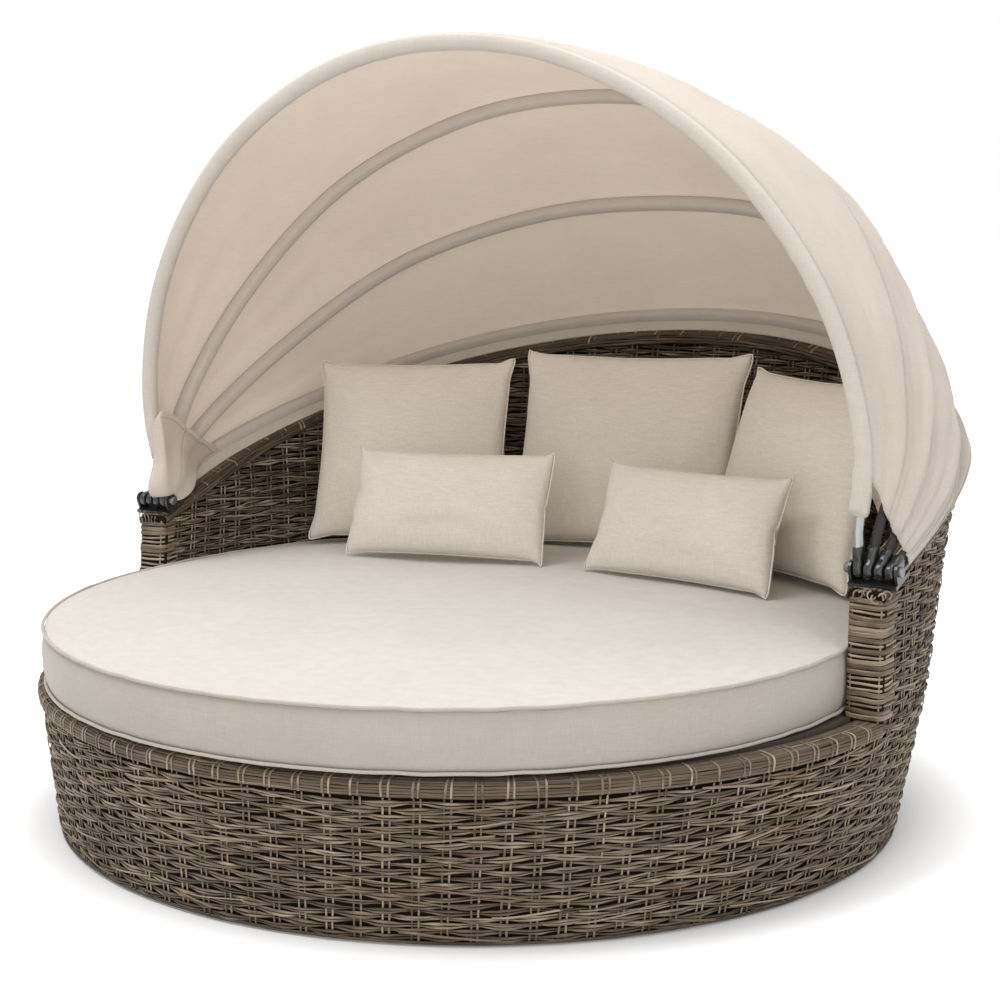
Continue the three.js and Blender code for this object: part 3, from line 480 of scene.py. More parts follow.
drum = Strands(101)
DRUM_ROWS = int((DRUM_TOP - FIRST_ROW) / ROW_PITCH) + 1
for i in range(DRUM_ROWS):
    weave_row(drum, i, 0, 2 * math.pi, OUTER, 1, closed=True)
drum_loose = Strands(109)
weave_stakes(drum_loose, STAKE_TURNS, FOOT, np.full(STAKES, DRUM_TOP + 0.004), OUTER, 1)
strays(drum_loose, 240, (0, 2 * math.pi), (0.02, 0.235), OUTER, 1)
turns = round_turns(216)
_, up, out = shell_axes(turns, np.full(216, FOOT_STRAND), FOOT_INSET)
line = shell(turns, FOOT_STRAND + 0.0006 * waves(turns, 1.0, 5, 0.2), FOOT_INSET)
drum.run(line, up, out, 0.0026, 0.0014, drum.shades(turns, 0.2, 0.22), 0.1, True)
place_piece(drum.piece("drum_weave", WICKER), node="drum_skin")
place_piece(drum_loose.piece("drum_stakes", WICKER))
place_piece(backing("drum_shadow_core", round_turns(120), FOOT, np.full(120, DRUM_TOP), OUTER_CORE, True))

outer = Strands(102)
back_rows(outer, DRUM_ROWS, OUTER, 1)
weave_stakes(outer, BACK_STAKES, DRUM_TOP - 0.004, top_height(BACK_STAKES, OUTER, STAKE_TOP), OUTER, 1)
strays(outer, 80, STRAY_TURNS, (0.26, 0.5), OUTER, 1)
place_piece(outer.piece("back_outer_weave", WICKER), node="back_outer_skin")
turns = np.linspace(ARM_TURN, math.pi - ARM_TURN, 90)
top = top_height(turns, OUTER_CORE + 0.0005, WRAP_BOTTOM)
place_piece(backing("back_outer_shadow_core", turns, DRUM_TOP, top, OUTER_CORE))

inner = Strands(103)
back_rows(inner, int((0.285 - FIRST_ROW) / ROW_PITCH), INNER, -1)
weave_stakes(inner, BACK_STAKES, SEAT_LINE, top_height(BACK_STAKES, INNER, STAKE_TOP), INNER, -1)
strays(inner, 110, STRAY_TURNS, (0.38, 0.52), INNER, -1)
place_piece(inner.piece("back_inner_weave", WICKER_SHADED), node="back_inner_skin")
top = top_height(turns, INNER_CORE + CORE_THICKNESS, WRAP_BOTTOM)
place_piece(backing("back_inner_shadow_core", turns, SEAT_LINE, top, INNER_CORE))


# Bound edges: strands laid along the rim and the back's top, with pairs of ties over them at each stake

TIE_APART = 0.0050
TIES_SKIPPED = 0.05


def ahead_of(points, closed=False):
    """Unit direction along a path at each of its points."""
    if closed:
        return unit(np.roll(points, -1, 0) - np.roll(points, 1, 0))
    return unit(np.gradient(points, axis=0))


def bound_edge(strands, turns, section, laid, ties, middle):
    """section(turn, marks) gives the edge's surface at marks from 0 to 1 across it."""
    surface = section(turns, np.linspace(0, 1, 61))
    across = unit(np.gradient(surface, axis=1))
    out = unit(np.cross(unit(np.gradient(surface, axis=0)), across))
    width = np.linalg.norm(np.diff(surface[len(turns) // 2], axis=0), axis=1).sum()
    index = np.arange(len(turns))
    for k in range(laid):
        wander = (k + 0.5) / laid + 0.12 / laid * waves(turns, k * 2.1, 61, 0.15)
        j = np.clip(wander * 60, 0, 59.999)
        low = j.astype(int)
        way = (j - low)[:, None]
        centre = surface[index, low] * (1 - way) + surface[index, low + 1] * way
        side, face = across[index, low], out[index, low]
        strands.run(centre + face * 0.0006, side, face, width / laid * 0.52, 0.0016,
                    strands.shades(turns, 0.20, middle), strands.between(0, 0.25))
    for turn in ties:
        for side in (-1, 1):
            if strands.draw.random() < TIES_SKIPPED:
                continue
            shift = (side * TIE_APART + strands.draw.normal(0, 0.0008)) / BASE_HALF
            marks = np.linspace(0.01, strands.between(0.6, 0.97), 26)
            slant = np.linspace(0, 1, 26) * strands.draw.normal(0, 0.002) / BASE_HALF
            line = np.concatenate([section(np.array([turn + shift + s]), np.array([mark]))[0]
                                   for s, mark in zip(slant, marks)])
            flat = unit(section(np.array([turn + 0.01]), marks)[0] - section(np.array([turn]), marks)[0])
            face = unit(np.cross(flat, ahead_of(line)))
            strands.run(line + face * 0.0026, flat, face, 0.0020, 0.0009,
                        strands.shades(marks, 0.16, middle + 0.30), strands.between(0, 0.12))


# Lines across the bound edges: inset, then height (rim) or distance over the sloping plane (back)
RIM_LINE = [(-0.003, 0.2435), (-0.003, 0.261), (0.003, 0.2665), (0.041, 0.2665)]
WRAP_LINE = [(-0.0035, -0.037), (-0.0035, -0.030), (0.003, -0.0245), (0.012, -0.0235), (0.0515, -0.0235),
             (0.0605, -0.0245), (0.0665, -0.030), (0.0665, -0.037)]


def rim_section(turns, marks):
    line = softened(RIM_LINE, marks)
    return shell(turns[:, None], line[None, :, 1], line[None, :, 0])


def wrap_section(turns, marks):
    return np.stack([top_point(turns, inset, raised) for inset, raised in softened(WRAP_LINE, marks)], 1)


rim = Strands(104)
turns = np.linspace(math.pi - ARM_TURN + 0.002, 2 * math.pi + ARM_TURN - 0.002, 240)
rim_ties = [t for t in STAKE_TURNS if turns[0] + 0.02 < t < turns[-1] - 0.02]
bound_edge(rim, turns, rim_section, 13, rim_ties, 0.36)
place_piece(rim.piece("rim_strands", WICKER))

wrap = Strands(105)
turns = np.linspace(ARM_TURN - 0.012, math.pi - ARM_TURN + 0.012, 260)
bound_edge(wrap, turns, wrap_section, 18, BACK_STAKES, 0.34)
# The binding on the back's top takes the darker wicker: painted shade under the cloth.
place_piece(wrap.piece("wrap_strands", WICKER_SHADED))


def arm_line(side, height, marks):
    """Way round the end of an arm at one height, from the outside over the end to the inside."""
    reach = np.array([0.045, 0.03, 0.012, 0, 0, 0, 0.012, 0.03, 0.045])
    inset = np.array([0.0, -0.0015, -0.0035, -0.0045, WALL / 2,
                      WALL + 0.0045, WALL + 0.0035, WALL + 0.001, WALL])
    points = shell(ARM_TURN + reach / BASE_HALF, height, inset)
    points[3:6, 1] -= 0.0165
    points[3, 0] -= 0.0025
    points[5, 0] += 0.0025
    return softened(points, marks) * [side, 1, 1]


def arm_binding(label, side):
    """Wraps round the end of an arm, three stakes over them, and loose curls on top."""
    arm = Strands(106 + side)
    low, high = RIM_TOP + 0.005, float(top_height(np.array([ARM_TURN]), 0.03, WRAP_BOTTOM)[0]) - 0.002
    count = int((high - low) / 0.0088)
    for k in range(count):
        loose = arm.draw.random() < 0.3
        trim = arm.between(0, 0.12)
        marks = np.linspace(trim, 1 - trim, 34)
        line = arm_line(side, low + (high - low) * (k + 0.5) / count, marks)
        line[:, 2] += 0.0012 * waves(marks, k * 1.7, 71, 0.5)
        up = np.tile([0.0, 0.0, 1.0], (34, 1))
        out = unit(np.cross(ahead_of(line), up)) * side
        arm.run(line + out * (0.0022 if loose else 0.0010), up, out, 0.0022 if loose else 0.0044, 0.0011,
                arm.shades(marks, 0.14, 0.8 if loose else 0.5), arm.between(0, 0.25))
    heights = np.linspace(low - 0.004, high + 0.004, 20)
    for mark in (0.30, 0.335, 0.66):
        line, beside = (np.concatenate([arm_line(side, h, np.array([at])) for h in heights])
                        for at in (mark, mark + 0.01))
        flat = unit(beside - line)
        out = unit(np.cross(flat, ahead_of(line))) * side
        arm.run(line + out * 0.0034, flat, out, 0.0016, 0.0009, arm.shades(heights, 0.14, 0.7))
    outward = unit(np.array([side * 0.75, -0.65, 0.25]))
    level = unit(np.cross(outward, [0, 0, 1]))
    faced = np.tile(outward, (18, 1))
    for k in range(9):
        middle = arm_line(side, high + 0.006, np.array([0.2 + 0.05 * k]))[0]
        middle[2] += 0.006 * arm.between(-0.5, 1)
        radius = arm.between(0.006, 0.011)
        angle = np.linspace(0, arm.between(3.6, 5.2), 18) + arm.between(0, 6)
        line = middle + outward * 0.004 + radius * (np.cos(angle)[:, None] * level
                                                   + np.sin(angle)[:, None] * np.array([0, 0, 0.8]))
        line += outward * (0.0015 * np.sin(angle * 1.3))[:, None]
        arm.run(line, unit(np.cross(ahead_of(line), faced)), faced, 0.0015, 0.0009, arm.between(0.5, 0.8))
    place_piece(arm.piece("arm_binding_" + label, WICKER))


for label, side in ARMS:
    arm_binding(label, side)


# Bows: the curves that carry the cloth

CURVE_STEPS = 24


def catmull(points):
    """Smooth curve through points, spaced by the root of their distance, with its shares of length."""
    p = np.asarray(points, float)
    p = np.concatenate([[2 * p[0] - p[1]], p, [2 * p[-1] - p[-2]]])
    out = []
    for a, b, c, d in zip(p[:-3], p[1:-2], p[2:-1], p[3:]):
        t0, t1, t2 = (math.sqrt(np.linalg.norm(v)) for v in (b - a, c - b, d - c))
        m1 = ((b - a) / t0 - (c - a) / (t0 + t1) + (c - b) / t1) * t1
        m2 = ((c - b) / t1 - (d - b) / (t1 + t2) + (d - c) / t2) * t1
        s = np.linspace(0, 1, CURVE_STEPS, endpoint=False)[:, None]
        out.append(b + m1 * s + (3 * (c - b) - 2 * m1 - m2) * s ** 2 + (2 * (b - c) + m1 + m2) * s ** 3)
    out = np.concatenate(out + [p[-2:-1]])
    length = lengths(out)
    return out, length / length[-1]


def bow_foot(order):
    return BASE_HALF - BOW_SET_IN + order * BOW_PITCH


def bow_curve(order):
    """Bow in its own plane; the rear one follows the sloping top of the back."""
    foot = bow_foot(order)
    run = [(foot, 0.036), (foot, 0.062)]
    if order == 3:
        for turn, inset in zip(np.radians([14, 30, 50, 70, 90]), (0.006, 0.0315, 0.0315, 0.0315, 0.0315)):
            at = top_point(np.array([turn]), inset, 0.0)[0]
            run.append((at[0], (at[1] - HUB_Y) / math.cos(BACK_SLOPE)))
    else:
        for degrees, share, more in BOW_COURSE:
            turn, length = math.radians(degrees), BOW_REACH * share + order * more
            run.append((length * math.cos(turn), length * math.sin(turn)))
    return catmull(run + [(-x, away) for x, away in reversed(run[:-1])])


BOWS = [bow_curve(order) for order in range(4)]


def bow_at(order, shares):
    """Places on a bow, its outward direction and its plane's normal."""
    line, length = BOWS[order]
    cos, sin = math.cos(BOW_ANGLES[order]), math.sin(BOW_ANGLES[order])

    def flat(at):
        return np.stack([np.interp(at, length, line[:, c]) for c in (0, 1)], -1)

    def stand(x, away):
        return np.stack([x, away * cos, away * sin], -1)

    e = 0.004
    ahead = unit(flat(shares + e) - flat(shares - e))
    place = stand(*flat(shares).T) + HUB
    return place, stand(ahead[..., 1], -ahead[..., 0]), np.array([0, -sin, cos])


def share_at(order, away):
    line, length = BOWS[order]
    half = len(line) // 2
    return float(np.interp(away, line[:half, 1], length[:half]))


CLOTH_START = [share_at(order, away) for order, away in enumerate((0.156, 0.090, 0.064, 0.044))]
RUNS = 150


def cloth_shares(order, count=RUNS):
    return CLOTH_START[order] + (1 - 2 * CLOTH_START[order]) * np.linspace(0, 1, count)


def from_hub(points):
    return unit(points - HUB)


# Cloth between the bows

PUFF = 0.024
FOLD_DEPTH = 0.0075
PANEL_ROWS = 20


def panel_surface(order):
    """Cloth between two bows: pulled straight along them, full between them, creased towards the hubs."""
    run = np.linspace(0, 1, RUNS)[:, None]
    a, out_a, _ = bow_at(order, cloth_shares(order))
    b, out_b, _ = bow_at(order + 1, cloth_shares(order + 1))
    a, b = a + out_a * CLOTH_SIDE, b + out_b * CLOTH_SIDE
    edge = 0.0003 / np.linalg.norm(a - b, axis=1)[:, None]
    even = np.linspace(0, 1, PANEL_ROWS)[None, :]
    share = edge + (1 - 2 * edge) * (0.35 * (0.5 - 0.5 * np.cos(math.pi * even)) + 0.65 * even)
    base = a[:, None] * (1 - share[..., None]) + b[:, None] * share[..., None]
    arch = np.sin(math.pi * share)
    puff = PUFF * arch ** 0.8 * np.sin(math.pi * run) ** 0.6
    near = np.clip(1 - np.minimum(run, 1 - run) / 0.34, 0, 1)
    broad = np.sin(3 * math.pi * share + 0.8 * np.sin(9 * run) + order)
    narrow = np.sin(7 * math.pi * share + 1.4 * np.sin(7 * run))
    fold = FOLD_DEPTH * near * (1 - near ** 6) * (broad + 0.5 * narrow) * arch ** 0.5
    crease = 0.0026 * waves(share * 1.1, run * 5, 80 + order, 0.5) * arch
    crease += 0.0011 * waves(share * 2.4, run * 9, 84 + order, 0.4) * arch
    tuck = -0.0005 * (np.exp(-share / 0.012) + np.exp(-(1 - share) / 0.012))
    return base + from_hub(base) * (puff + fold + crease + tuck)[..., None]


def sheet_object(name, surface, material, thickness=0.0018):
    piece = mesh_object(name, surface.reshape(-1, 3), grid_faces(*surface.shape[:2]), material)
    return thicken(piece, thickness, 1.0)


def spread(surface):
    """Flat width and length of a surface grid, and its area."""
    wide = np.linalg.norm(np.diff(surface, axis=1), axis=2).sum(1).max()
    long = np.linalg.norm(np.diff(surface, axis=0), axis=2).sum(0).max()
    u = surface[1:, 1:] - surface[:-1, :-1]
    v = surface[1:, :-1] - surface[:-1, 1:]
    return float(wide), float(long), float(0.5 * np.linalg.norm(np.cross(u, v), axis=2).sum())


def blend_by_angle(piece):
    """Bakes the piece's transform into its points and reads the points back."""
    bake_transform(piece)
    co = np.empty(len(piece.data.vertices) * 3)
    piece.data.vertices.foreach_get("co", co)


# Sleeves: bands of cloth round the bows. Sections go along the plane's normal, then outward.
FRONT_SLEEVE = [(0.0005, 0.0135), (0.008, 0.0128), (0.0125, 0.009), (0.0132, 0.0), (0.0128, -0.009),
                (0.009, -0.0155), (0.003, -0.0175), (-0.004, -0.0172), (-0.0095, -0.0140), (-0.0126, -0.006),
                (-0.0129, 0.004), (-0.0115, 0.0100)]
FRONT_SLEEVE += [(w * 0.86, h * 0.86) for w, h in reversed(FRONT_SLEEVE)]
SLEEVE_HALF, SLEEVE_LOW = 0.0136, -0.0112
SLEEVE = [(SLEEVE_HALF, 0.0105), (SLEEVE_HALF + 0.0004, 0.004), (SLEEVE_HALF, -0.002),
          (SLEEVE_HALF * 0.85, SLEEVE_LOW * 0.72), (SLEEVE_HALF * 0.45, SLEEVE_LOW)]
SLEEVE += [(-w, h) for w, h in reversed(SLEEVE)]
SLEEVE += [(w * 0.88, h + 0.0012 if h < 0 else h) for w, h in reversed(SLEEVE)]
TAB_END = 0.172

sleeves = []
for order, name in enumerate(BOW_NAMES):
    if order == 0:
        start = share_at(0, 0.092)
        shares = np.linspace(start, 1 - start, 180)
        place, outward, normal = bow_at(0, shares)
        pull = 0.0006 * waves(shares * 60, 0, 91, 1.0)[:, None]
        apart = np.linalg.norm(place[:, 1:] - [HUB_Y, HUB_Z], axis=1)
        tab = (1 + 0.045 * (1 - np.tanh((apart - TAB_END) / 0.0016)))[:, None]
        rings = swept(place, normal * tab, outward * tab, FRONT_SLEEVE)
        rings[:, [h < 0 for _, h in FRONT_SLEEVE]] += (outward * pull)[:, None]
    else:
        place, outward, normal = bow_at(order, cloth_shares(order)[2:-2])
        rings = swept(place, normal, outward, SLEEVE)
    sleeve = tube("hood_sleeve_" + name, rings, HEM)
    sleeves.append(place_piece(sleeve, BODIES[order], "sleeve_" + name))


def strip_section(half):
    """Flat strip with softened edges."""
    high = 0.0009
    return [(-half, -high), (-half, 0), (-half * 0.8, high), (half * 0.8, high), (half, 0), (half, -high)]


seams = {}
for order in (1, 2):
    place, outward, normal = bow_at(order, cloth_shares(order)[1:-1])
    rings = swept(place + outward * (CLOTH_SIDE + 0.0018), normal, outward, strip_section(0.0048))
    seams[order] = place_piece(tube("hood_seam_" + BOW_NAMES[order], rings, CANVAS), BODIES[order])

# Linings inside the ends of the hood, from a cross band down to the hubs. The photograph shows them down to
# the hub at the left alone.

LINING_NEAR = {1: 0.140, -1: 0.014}
LINING_FAR = (0.190, 0.160, 0.173, 0.215)
LINING_SET_IN = 0.0195
LINING_THICKNESS = 0.0014
WRAPPED_ROWS = 7


def lining_points(order, side, reach, angle):
    """Points on the lining of one panel's end: reach and angle are shares across and between the bows."""
    low, high = BOW_ANGLES[order + 1], BOW_ANGLES[order]
    far = LINING_FAR[order] * angle + LINING_FAR[order + 1] * (1 - angle)
    radius = LINING_NEAR[side] + (far - LINING_NEAR[side]) * reach
    if order == 0:
        high = high + 0.011 / np.maximum(radius, 0.03)
    if order == 2:
        low = low + 0.004 / np.maximum(radius, 0.04)
        low = low - (0.60 * np.exp(-(radius / 0.055) ** 2) if side < 0 else 0)
    turn = low + (high - low) * angle
    foot = bow_foot(order) * angle + bow_foot(order + 1) * (1 - angle)
    fold = 0.0022 * (1 + np.sin(7 * turn + 2.0 * reach)) * np.sin(math.pi * reach)
    at_bows = np.clip((reach - 0.2) / 0.6, 0, 1)
    at_bows = at_bows ** 2 * (3 - 2 * at_bows)
    outward = foot - bow_foot(0) + 0.0035 * (1 - angle ** 2 if order == 0 else 1)
    across = bow_foot(0) - LINING_SET_IN + at_bows * outward - fold
    return np.stack([side * across, HUB_Y + radius * np.cos(turn), HUB_Z + radius * np.sin(turn)], -1)


def wrapped_front(points):
    """The left front lining carried on forward round the bow, fullest just over the hub."""
    away = np.hypot(points[:, -1, 1] - HUB_Y, points[:, -1, 2] - HUB_Z)[:, None]
    left = LINING_FAR[0] - away
    ahead = (0.006 + 0.026 * np.exp(-((away - 0.035) / 0.040) ** 2)) * np.clip(left / 0.05, 0, 1) ** 0.5
    share = np.linspace(0, 1, WRAPPED_ROWS + 1)[None, 1:]
    turn = BOW_ANGLES[0]
    step = np.stack([-0.026 * share ** 1.6 * np.clip(left / 0.03, 0, 1),
                     -math.sin(turn) * ahead * share ** 0.7, math.cos(turn) * ahead * share ** 0.7], -1)
    return np.concatenate([points, points[:, -1:] + step], 1)


def lining(order, name):
    """Lining of one panel's ends and the band across its top, in two meshes; in front at the left alone."""
    grids, bands = [], []
    for side in (1, -1) if order else (-1,):
        reach, angle = np.meshgrid(np.linspace(0, 1, 26), np.linspace(0, 1, 18), indexing="ij")
        points = lining_points(order, side, reach, angle)
        if order == 0:
            points = wrapped_front(points)
        grids.append(points if side > 0 else points[:, ::-1])
        reach, angle = np.meshgrid(np.linspace(0.95, 1.02, 6), np.linspace(0, 1, 18), indexing="ij")
        points = lining_points(order, side, reach, angle) - np.array([side * 0.0022, 0, 0])
        bands.append(points if side > 0 else points[:, ::-1])
    pieces = []
    for label, pair, material in (("lining", grids, CANVAS), ("band", bands, HEM)):
        faces, start = [], 0
        for grid in pair:
            faces += grid_faces(*grid.shape[:2], start=start)
            start += grid.shape[0] * grid.shape[1]
        points = np.concatenate([g.reshape(-1, 3) for g in pair])
        piece = thicken(mesh_object("hood_%s_%s" % (label, name), points, faces, material), LINING_THICKNESS, 0)
        blend_by_angle(piece)
        pieces.append(piece)
    return pieces


for order, name in enumerate(("front", "middle", "rear")):
    surface = panel_surface(order)
    panel = sheet_object("hood_" + name, surface, CANVAS)
    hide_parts("canopy_panel_" + name)
    [sleeves[order], *lining(order, name)] + ([seams[order]] if order in seams else [])
    blend_by_angle(panel)

# Cloth that hangs from the rear bow over the outside of the back

DROP_NEAR_HUB = 0.020
DROP_GROWTH = 0.150
DROP_COUNT = 220


def drop_rows():
    """Rows of the hanging cloth from the bow down, short by the hubs and long behind the bed."""
    place, outward, normal = bow_at(3, cloth_shares(3, DROP_COUNT))
    turn = np.arctan2((place[:, 1] - BACK_LEAN * place[:, 2]) / DEPTH_SHARE, place[:, 0])
    fall = DROP_GROWTH * np.maximum(0, np.sin(turn)) ** 3
    loose = np.minimum(1, fall / 0.05)
    billow = 0.005 * np.abs(np.sin(8 * turn)) + 0.010 * np.abs(np.cos(turn))
    low = -DROP_NEAR_HUB - fall
    corner = np.maximum(-0.027, -0.0104 + 0.35 * low)
    rows = [place + normal * along + outward * (CLOTH_SIDE + more)
            for along, more in ((-0.0006, 0), (-0.009, 0.0003), (-0.016, -0.004))]
    for down in np.linspace(0, 1, 14):
        ripple = 0.0018 * waves(turn * 2.2, down * 0.5, 95, 0.35)
        outside = 0.0055 + down * loose * (0.004 + billow + ripple)
        raised = corner + (low - corner) * down
        rows.append(np.stack([top_point(np.array([t]), -o, r)[0] for t, o, r in zip(turn, outside, raised)]))
    return rows


start = share_at(3, 0.037)
place, outward, normal = bow_at(3, np.linspace(start, 1 - start, DROP_COUNT))
downhill, face = outward * -0.823 - normal * 0.568, outward * -0.568 + normal * 0.823
rings = swept(place - outward * 0.0200 - normal * 0.0132, downhill, face, strip_section(0.0128))
rear_band = place_piece(tube("hood_rear_band", rings, HEM))
rows = drop_rows()
surface = np.stack(rows, 1)
drop = place_piece(sheet_object("hood_drop", surface, CANVAS), node="canopy_drop")
hem_rows = [row + from_hub(row) * lift for row, lift in zip(rows[-3:], (0.0022, 0.0026, 0.0022))]
drop_hem = place_piece(sheet_object("hood_drop_hem", np.stack(hem_rows, 1), HEM, 0.0016))


# Seat cushion with its two cords

CUSHION_HALF = (BASE_HALF - 0.032, BASE_HALF * DEPTH_SHARE)
CUSHION_MIDDLE = -0.015
CUSHION_BASE = 0.2745
BOTTOM_EDGE, TOP_EDGE = 0.281, 0.381
CROWN = 0.021
CORD_RADIUS = 0.0031


def cushion_outline(turn, grow):
    full = 0.032 * np.maximum(0, -np.sin(turn)) ** 0.7
    x = (CUSHION_HALF[0] + full + grow) * np.cos(turn)
    y = CUSHION_MIDDLE + (CUSHION_HALF[1] + grow) * np.sin(turn)
    return x, y


def cushion_mesh():
    """Seat pad in rings from the middle of its base to the middle of its crown."""
    turn = round_turns(220)
    x, y = cushion_outline(turn, 0)
    rows = [(x * share, CUSHION_MIDDLE + (y - CUSHION_MIDDLE) * share, np.full_like(turn, CUSHION_BASE))
            for share in (0.30, 0.60, 0.85, 0.97)]
    for share in np.linspace(0, 1, 9):
        ripple = 0.0009 * waves(turn * 2.4, share * 0.5, 131, 0.22) * math.sin(math.pi * share)
        x, y = cushion_outline(turn, 0.0075 * math.sin(math.pi * share) ** 0.8 + ripple)
        rows.append((x, y, BOTTOM_EDGE + (TOP_EDGE - BOTTOM_EDGE) * share + 0 * turn))
    for share in (0.994, 0.98, 0.955, 0.92, 0.88, 0.83, 0.77, 0.70, 0.62, 0.53, 0.43, 0.32, 0.2, 0.1):
        x, y = cushion_outline(turn, 0)
        x, y = x * share, CUSHION_MIDDLE + (y - CUSHION_MIDDLE) * share
        edge = math.exp(-(1 - share) / 0.06) * min(1, (1 - share) * 60)
        pucker = 0.0010 * waves(turn * 3, 0, 132, 0.13) * edge
        uneven = 0.0016 * waves(x, y, 133, 0.5) * (1 - share ** 8)
        rows.append((x, y, TOP_EDGE + CROWN * (1 - share ** 5) + pucker + uneven))
    verts = np.concatenate([np.stack(row, 1) for row in rows])
    faces = [face[::-1] for face in tube_faces(len(rows), len(turn))]
    pad = mesh_object("seat_pad", verts, faces, CUSHION)
    # Faces no higher than the top edge, the sides and the base, take the darker colour: painted shade.
    pad.data.materials.append(CUSHION_SHADED_SIDE)
    for face in pad.data.polygons:
        if max(verts[v, 2] for v in face.vertices) <= TOP_EDGE + 0.0001:
            face.material_index = 1
    return pad


seat_pad = place_piece(cushion_mesh(), node="seat_cushion")
turn = round_turns(260)
for label, height in (("top", TOP_EDGE), ("bottom", BOTTOM_EDGE)):
    cord = Strands(140)
    x, y = cushion_outline(turn, 0.0040)
    centre = np.stack([x, y, height + 0.0006 * waves(turn * 2, 0, 141, 0.2)], 1)
    out = unit(np.stack([np.cos(turn), np.sin(turn), 0 * turn], 1))
    up = np.tile([0.0, 0.0, 1.0], (260, 1))
    cord.run(centre, up, out, CORD_RADIUS, CORD_RADIUS, 0.5, 0, True, ROUND_SECTION)
    # The cords take the darker side colour: painted shade.
    place_piece(cord.piece("piping_" + label, CUSHION_SHADED_SIDE), node="cushion_piping_" + label)


# Loose pillows: two sewn sheets blown up by pressure, held near the CAD form.
# Each has its width, height and thickness, its place on the seat, its turn and its lean back in degrees.

BACK_SIZE = (0.450, 0.412, 0.125)
LUMBAR_SIZE = (0.440, 0.236, 0.092)
PILLOWS = {
    "back_left": (BACK_SIZE, (-0.430, 0.372), 20, 19),
    "back_centre": ((0.520, 0.434, 0.128), (0.018, 0.500), 8, 19),
    "back_right": (BACK_SIZE, (0.425, 0.402), -25, 20),
    "lumbar_left": (LUMBAR_SIZE, (-0.214, 0.212), 12, 20),
    "lumbar_right": (LUMBAR_SIZE, (0.302, 0.238), -8, 23),
}
CELLS = 40
PLUMP_POWER = 2.8
SIDE_PULL = 0.055
SEAM_THICKNESS = 0.003
SEAM_RADIUS = 0.0019
CLOTH_SHIFT = 0.008
PRESSURE, FRAMES = 5.0, 24


def pillow_faces(n):
    """Faces of two n by n sheets that share their edge, front first, and how many points they have."""
    front = np.arange(n * n).reshape(n, n)
    back = front.copy()
    count = n * n + (n - 2) ** 2
    back[1:-1, 1:-1] = np.arange(n * n, count).reshape(n - 2, n - 2)
    return faces_between(front) + [face[::-1] for face in faces_between(back)], front, back, count


def pillow_points(size, front, back, count):
    width, height, thickness = size
    u, v = np.meshgrid(*[np.linspace(-1, 1, len(front))] * 2)
    plump = np.maximum(0, (1 - np.abs(u) ** PLUMP_POWER) * (1 - np.abs(v) ** PLUMP_POWER)) ** 0.5
    half = (SEAM_THICKNESS + (thickness - SEAM_THICKNESS) * plump) / 2
    half[0], half[-1], half[:, 0], half[:, -1] = 0, 0, 0, 0
    corner = 1 - 0.050 * np.abs(u * v) ** 5
    x = width / 2 * u * corner * (1 - SIDE_PULL * (1 - v * v) * u * u)
    z = height / 2 * (1 + v * corner * (1 - SIDE_PULL * (1 - u * u) * v * v))
    points = np.zeros((count, 3))
    points[back] = np.stack([x, half, z], -1)
    points[front] = np.stack([x, -half, z], -1)
    return points


def blow_up(piece):
    """Runs the cloth for some frames and returns its points."""
    scene = bpy.context.scene
    cloth = piece.modifiers.new("cloth", "CLOTH")
    for key, value in (("quality", 5), ("mass", 0.25), ("tension_stiffness", 18), ("compression_stiffness", 12),
                       ("shear_stiffness", 6), ("bending_stiffness", 0.15), ("use_pressure", True),
                       ("uniform_pressure_force", PRESSURE)):
        setattr(cloth.settings, key, value)
    cloth.settings.effector_weights.gravity = 0
    cloth.point_cache.frame_start = 1
    cloth.point_cache.frame_end = FRAMES
    for step in range(1, FRAMES + 1):
        scene.frame_set(step)
    shown = piece.evaluated_get(bpy.context.evaluated_depsgraph_get())
    co = np.empty(len(shown.data.vertices) * 3)
    shown.data.vertices.foreach_get("co", co)
    piece.modifiers.remove(cloth)
    scene.frame_set(1)
    return co.reshape(-1, 3)


def sewn_pillow(size, seed):
    """Points and faces of a pillow standing on its lower edge, and the grid of its front."""
    n = CELLS + 1
    faces, front, back, count = pillow_faces(n)
    goal = pillow_points(size, front, back, count)
    width, height, thickness = size
    start = goal.copy()
    start[:, 1] *= 0.45
    u, v = np.meshgrid(*[np.linspace(-1, 1, n)] * 2)
    for grid in (front, back):
        start[grid, 0] = width / 2 * u * 1.05
        start[grid, 2] = height / 2 * (1 + v * 1.05)
    start[:, 1] += 0.0012 * waves(start[:, 0], start[:, 2], seed, 0.08)
    trial = mesh_object("trial", start, faces, PILLOW)
    blown = blow_up(trial)
    bpy.data.objects.remove(trial)
    low, high = blown.min(0), blown.max(0)
    scale = np.array([width, thickness, height]) / (high - low)
    blown = (blown - (low + high) / 2) * scale + np.array([0, 0, height / 2])
    step = blown - goal
    far = np.linalg.norm(step, axis=1, keepdims=True)
    step = step * np.minimum(1, CLOTH_SHIFT / np.maximum(far, 1e-9))
    for grid in (front, back):
        soft = step[grid]
        for _ in range(3):
            beside = (soft[:-2, 1:-1] + soft[2:, 1:-1] + soft[1:-1, :-2] + soft[1:-1, 2:]) / 4
            soft[1:-1, 1:-1] = 0.4 * soft[1:-1, 1:-1] + 0.6 * beside
        step[grid] = soft
    return goal + step, faces, front


def crown_height(x, y):
    share = np.minimum(1, np.hypot(x / CUSHION_HALF[0], (y - CUSHION_MIDDLE) / CUSHION_HALF[1]))
    return TOP_EDGE + CROWN * (1 - share ** 5)


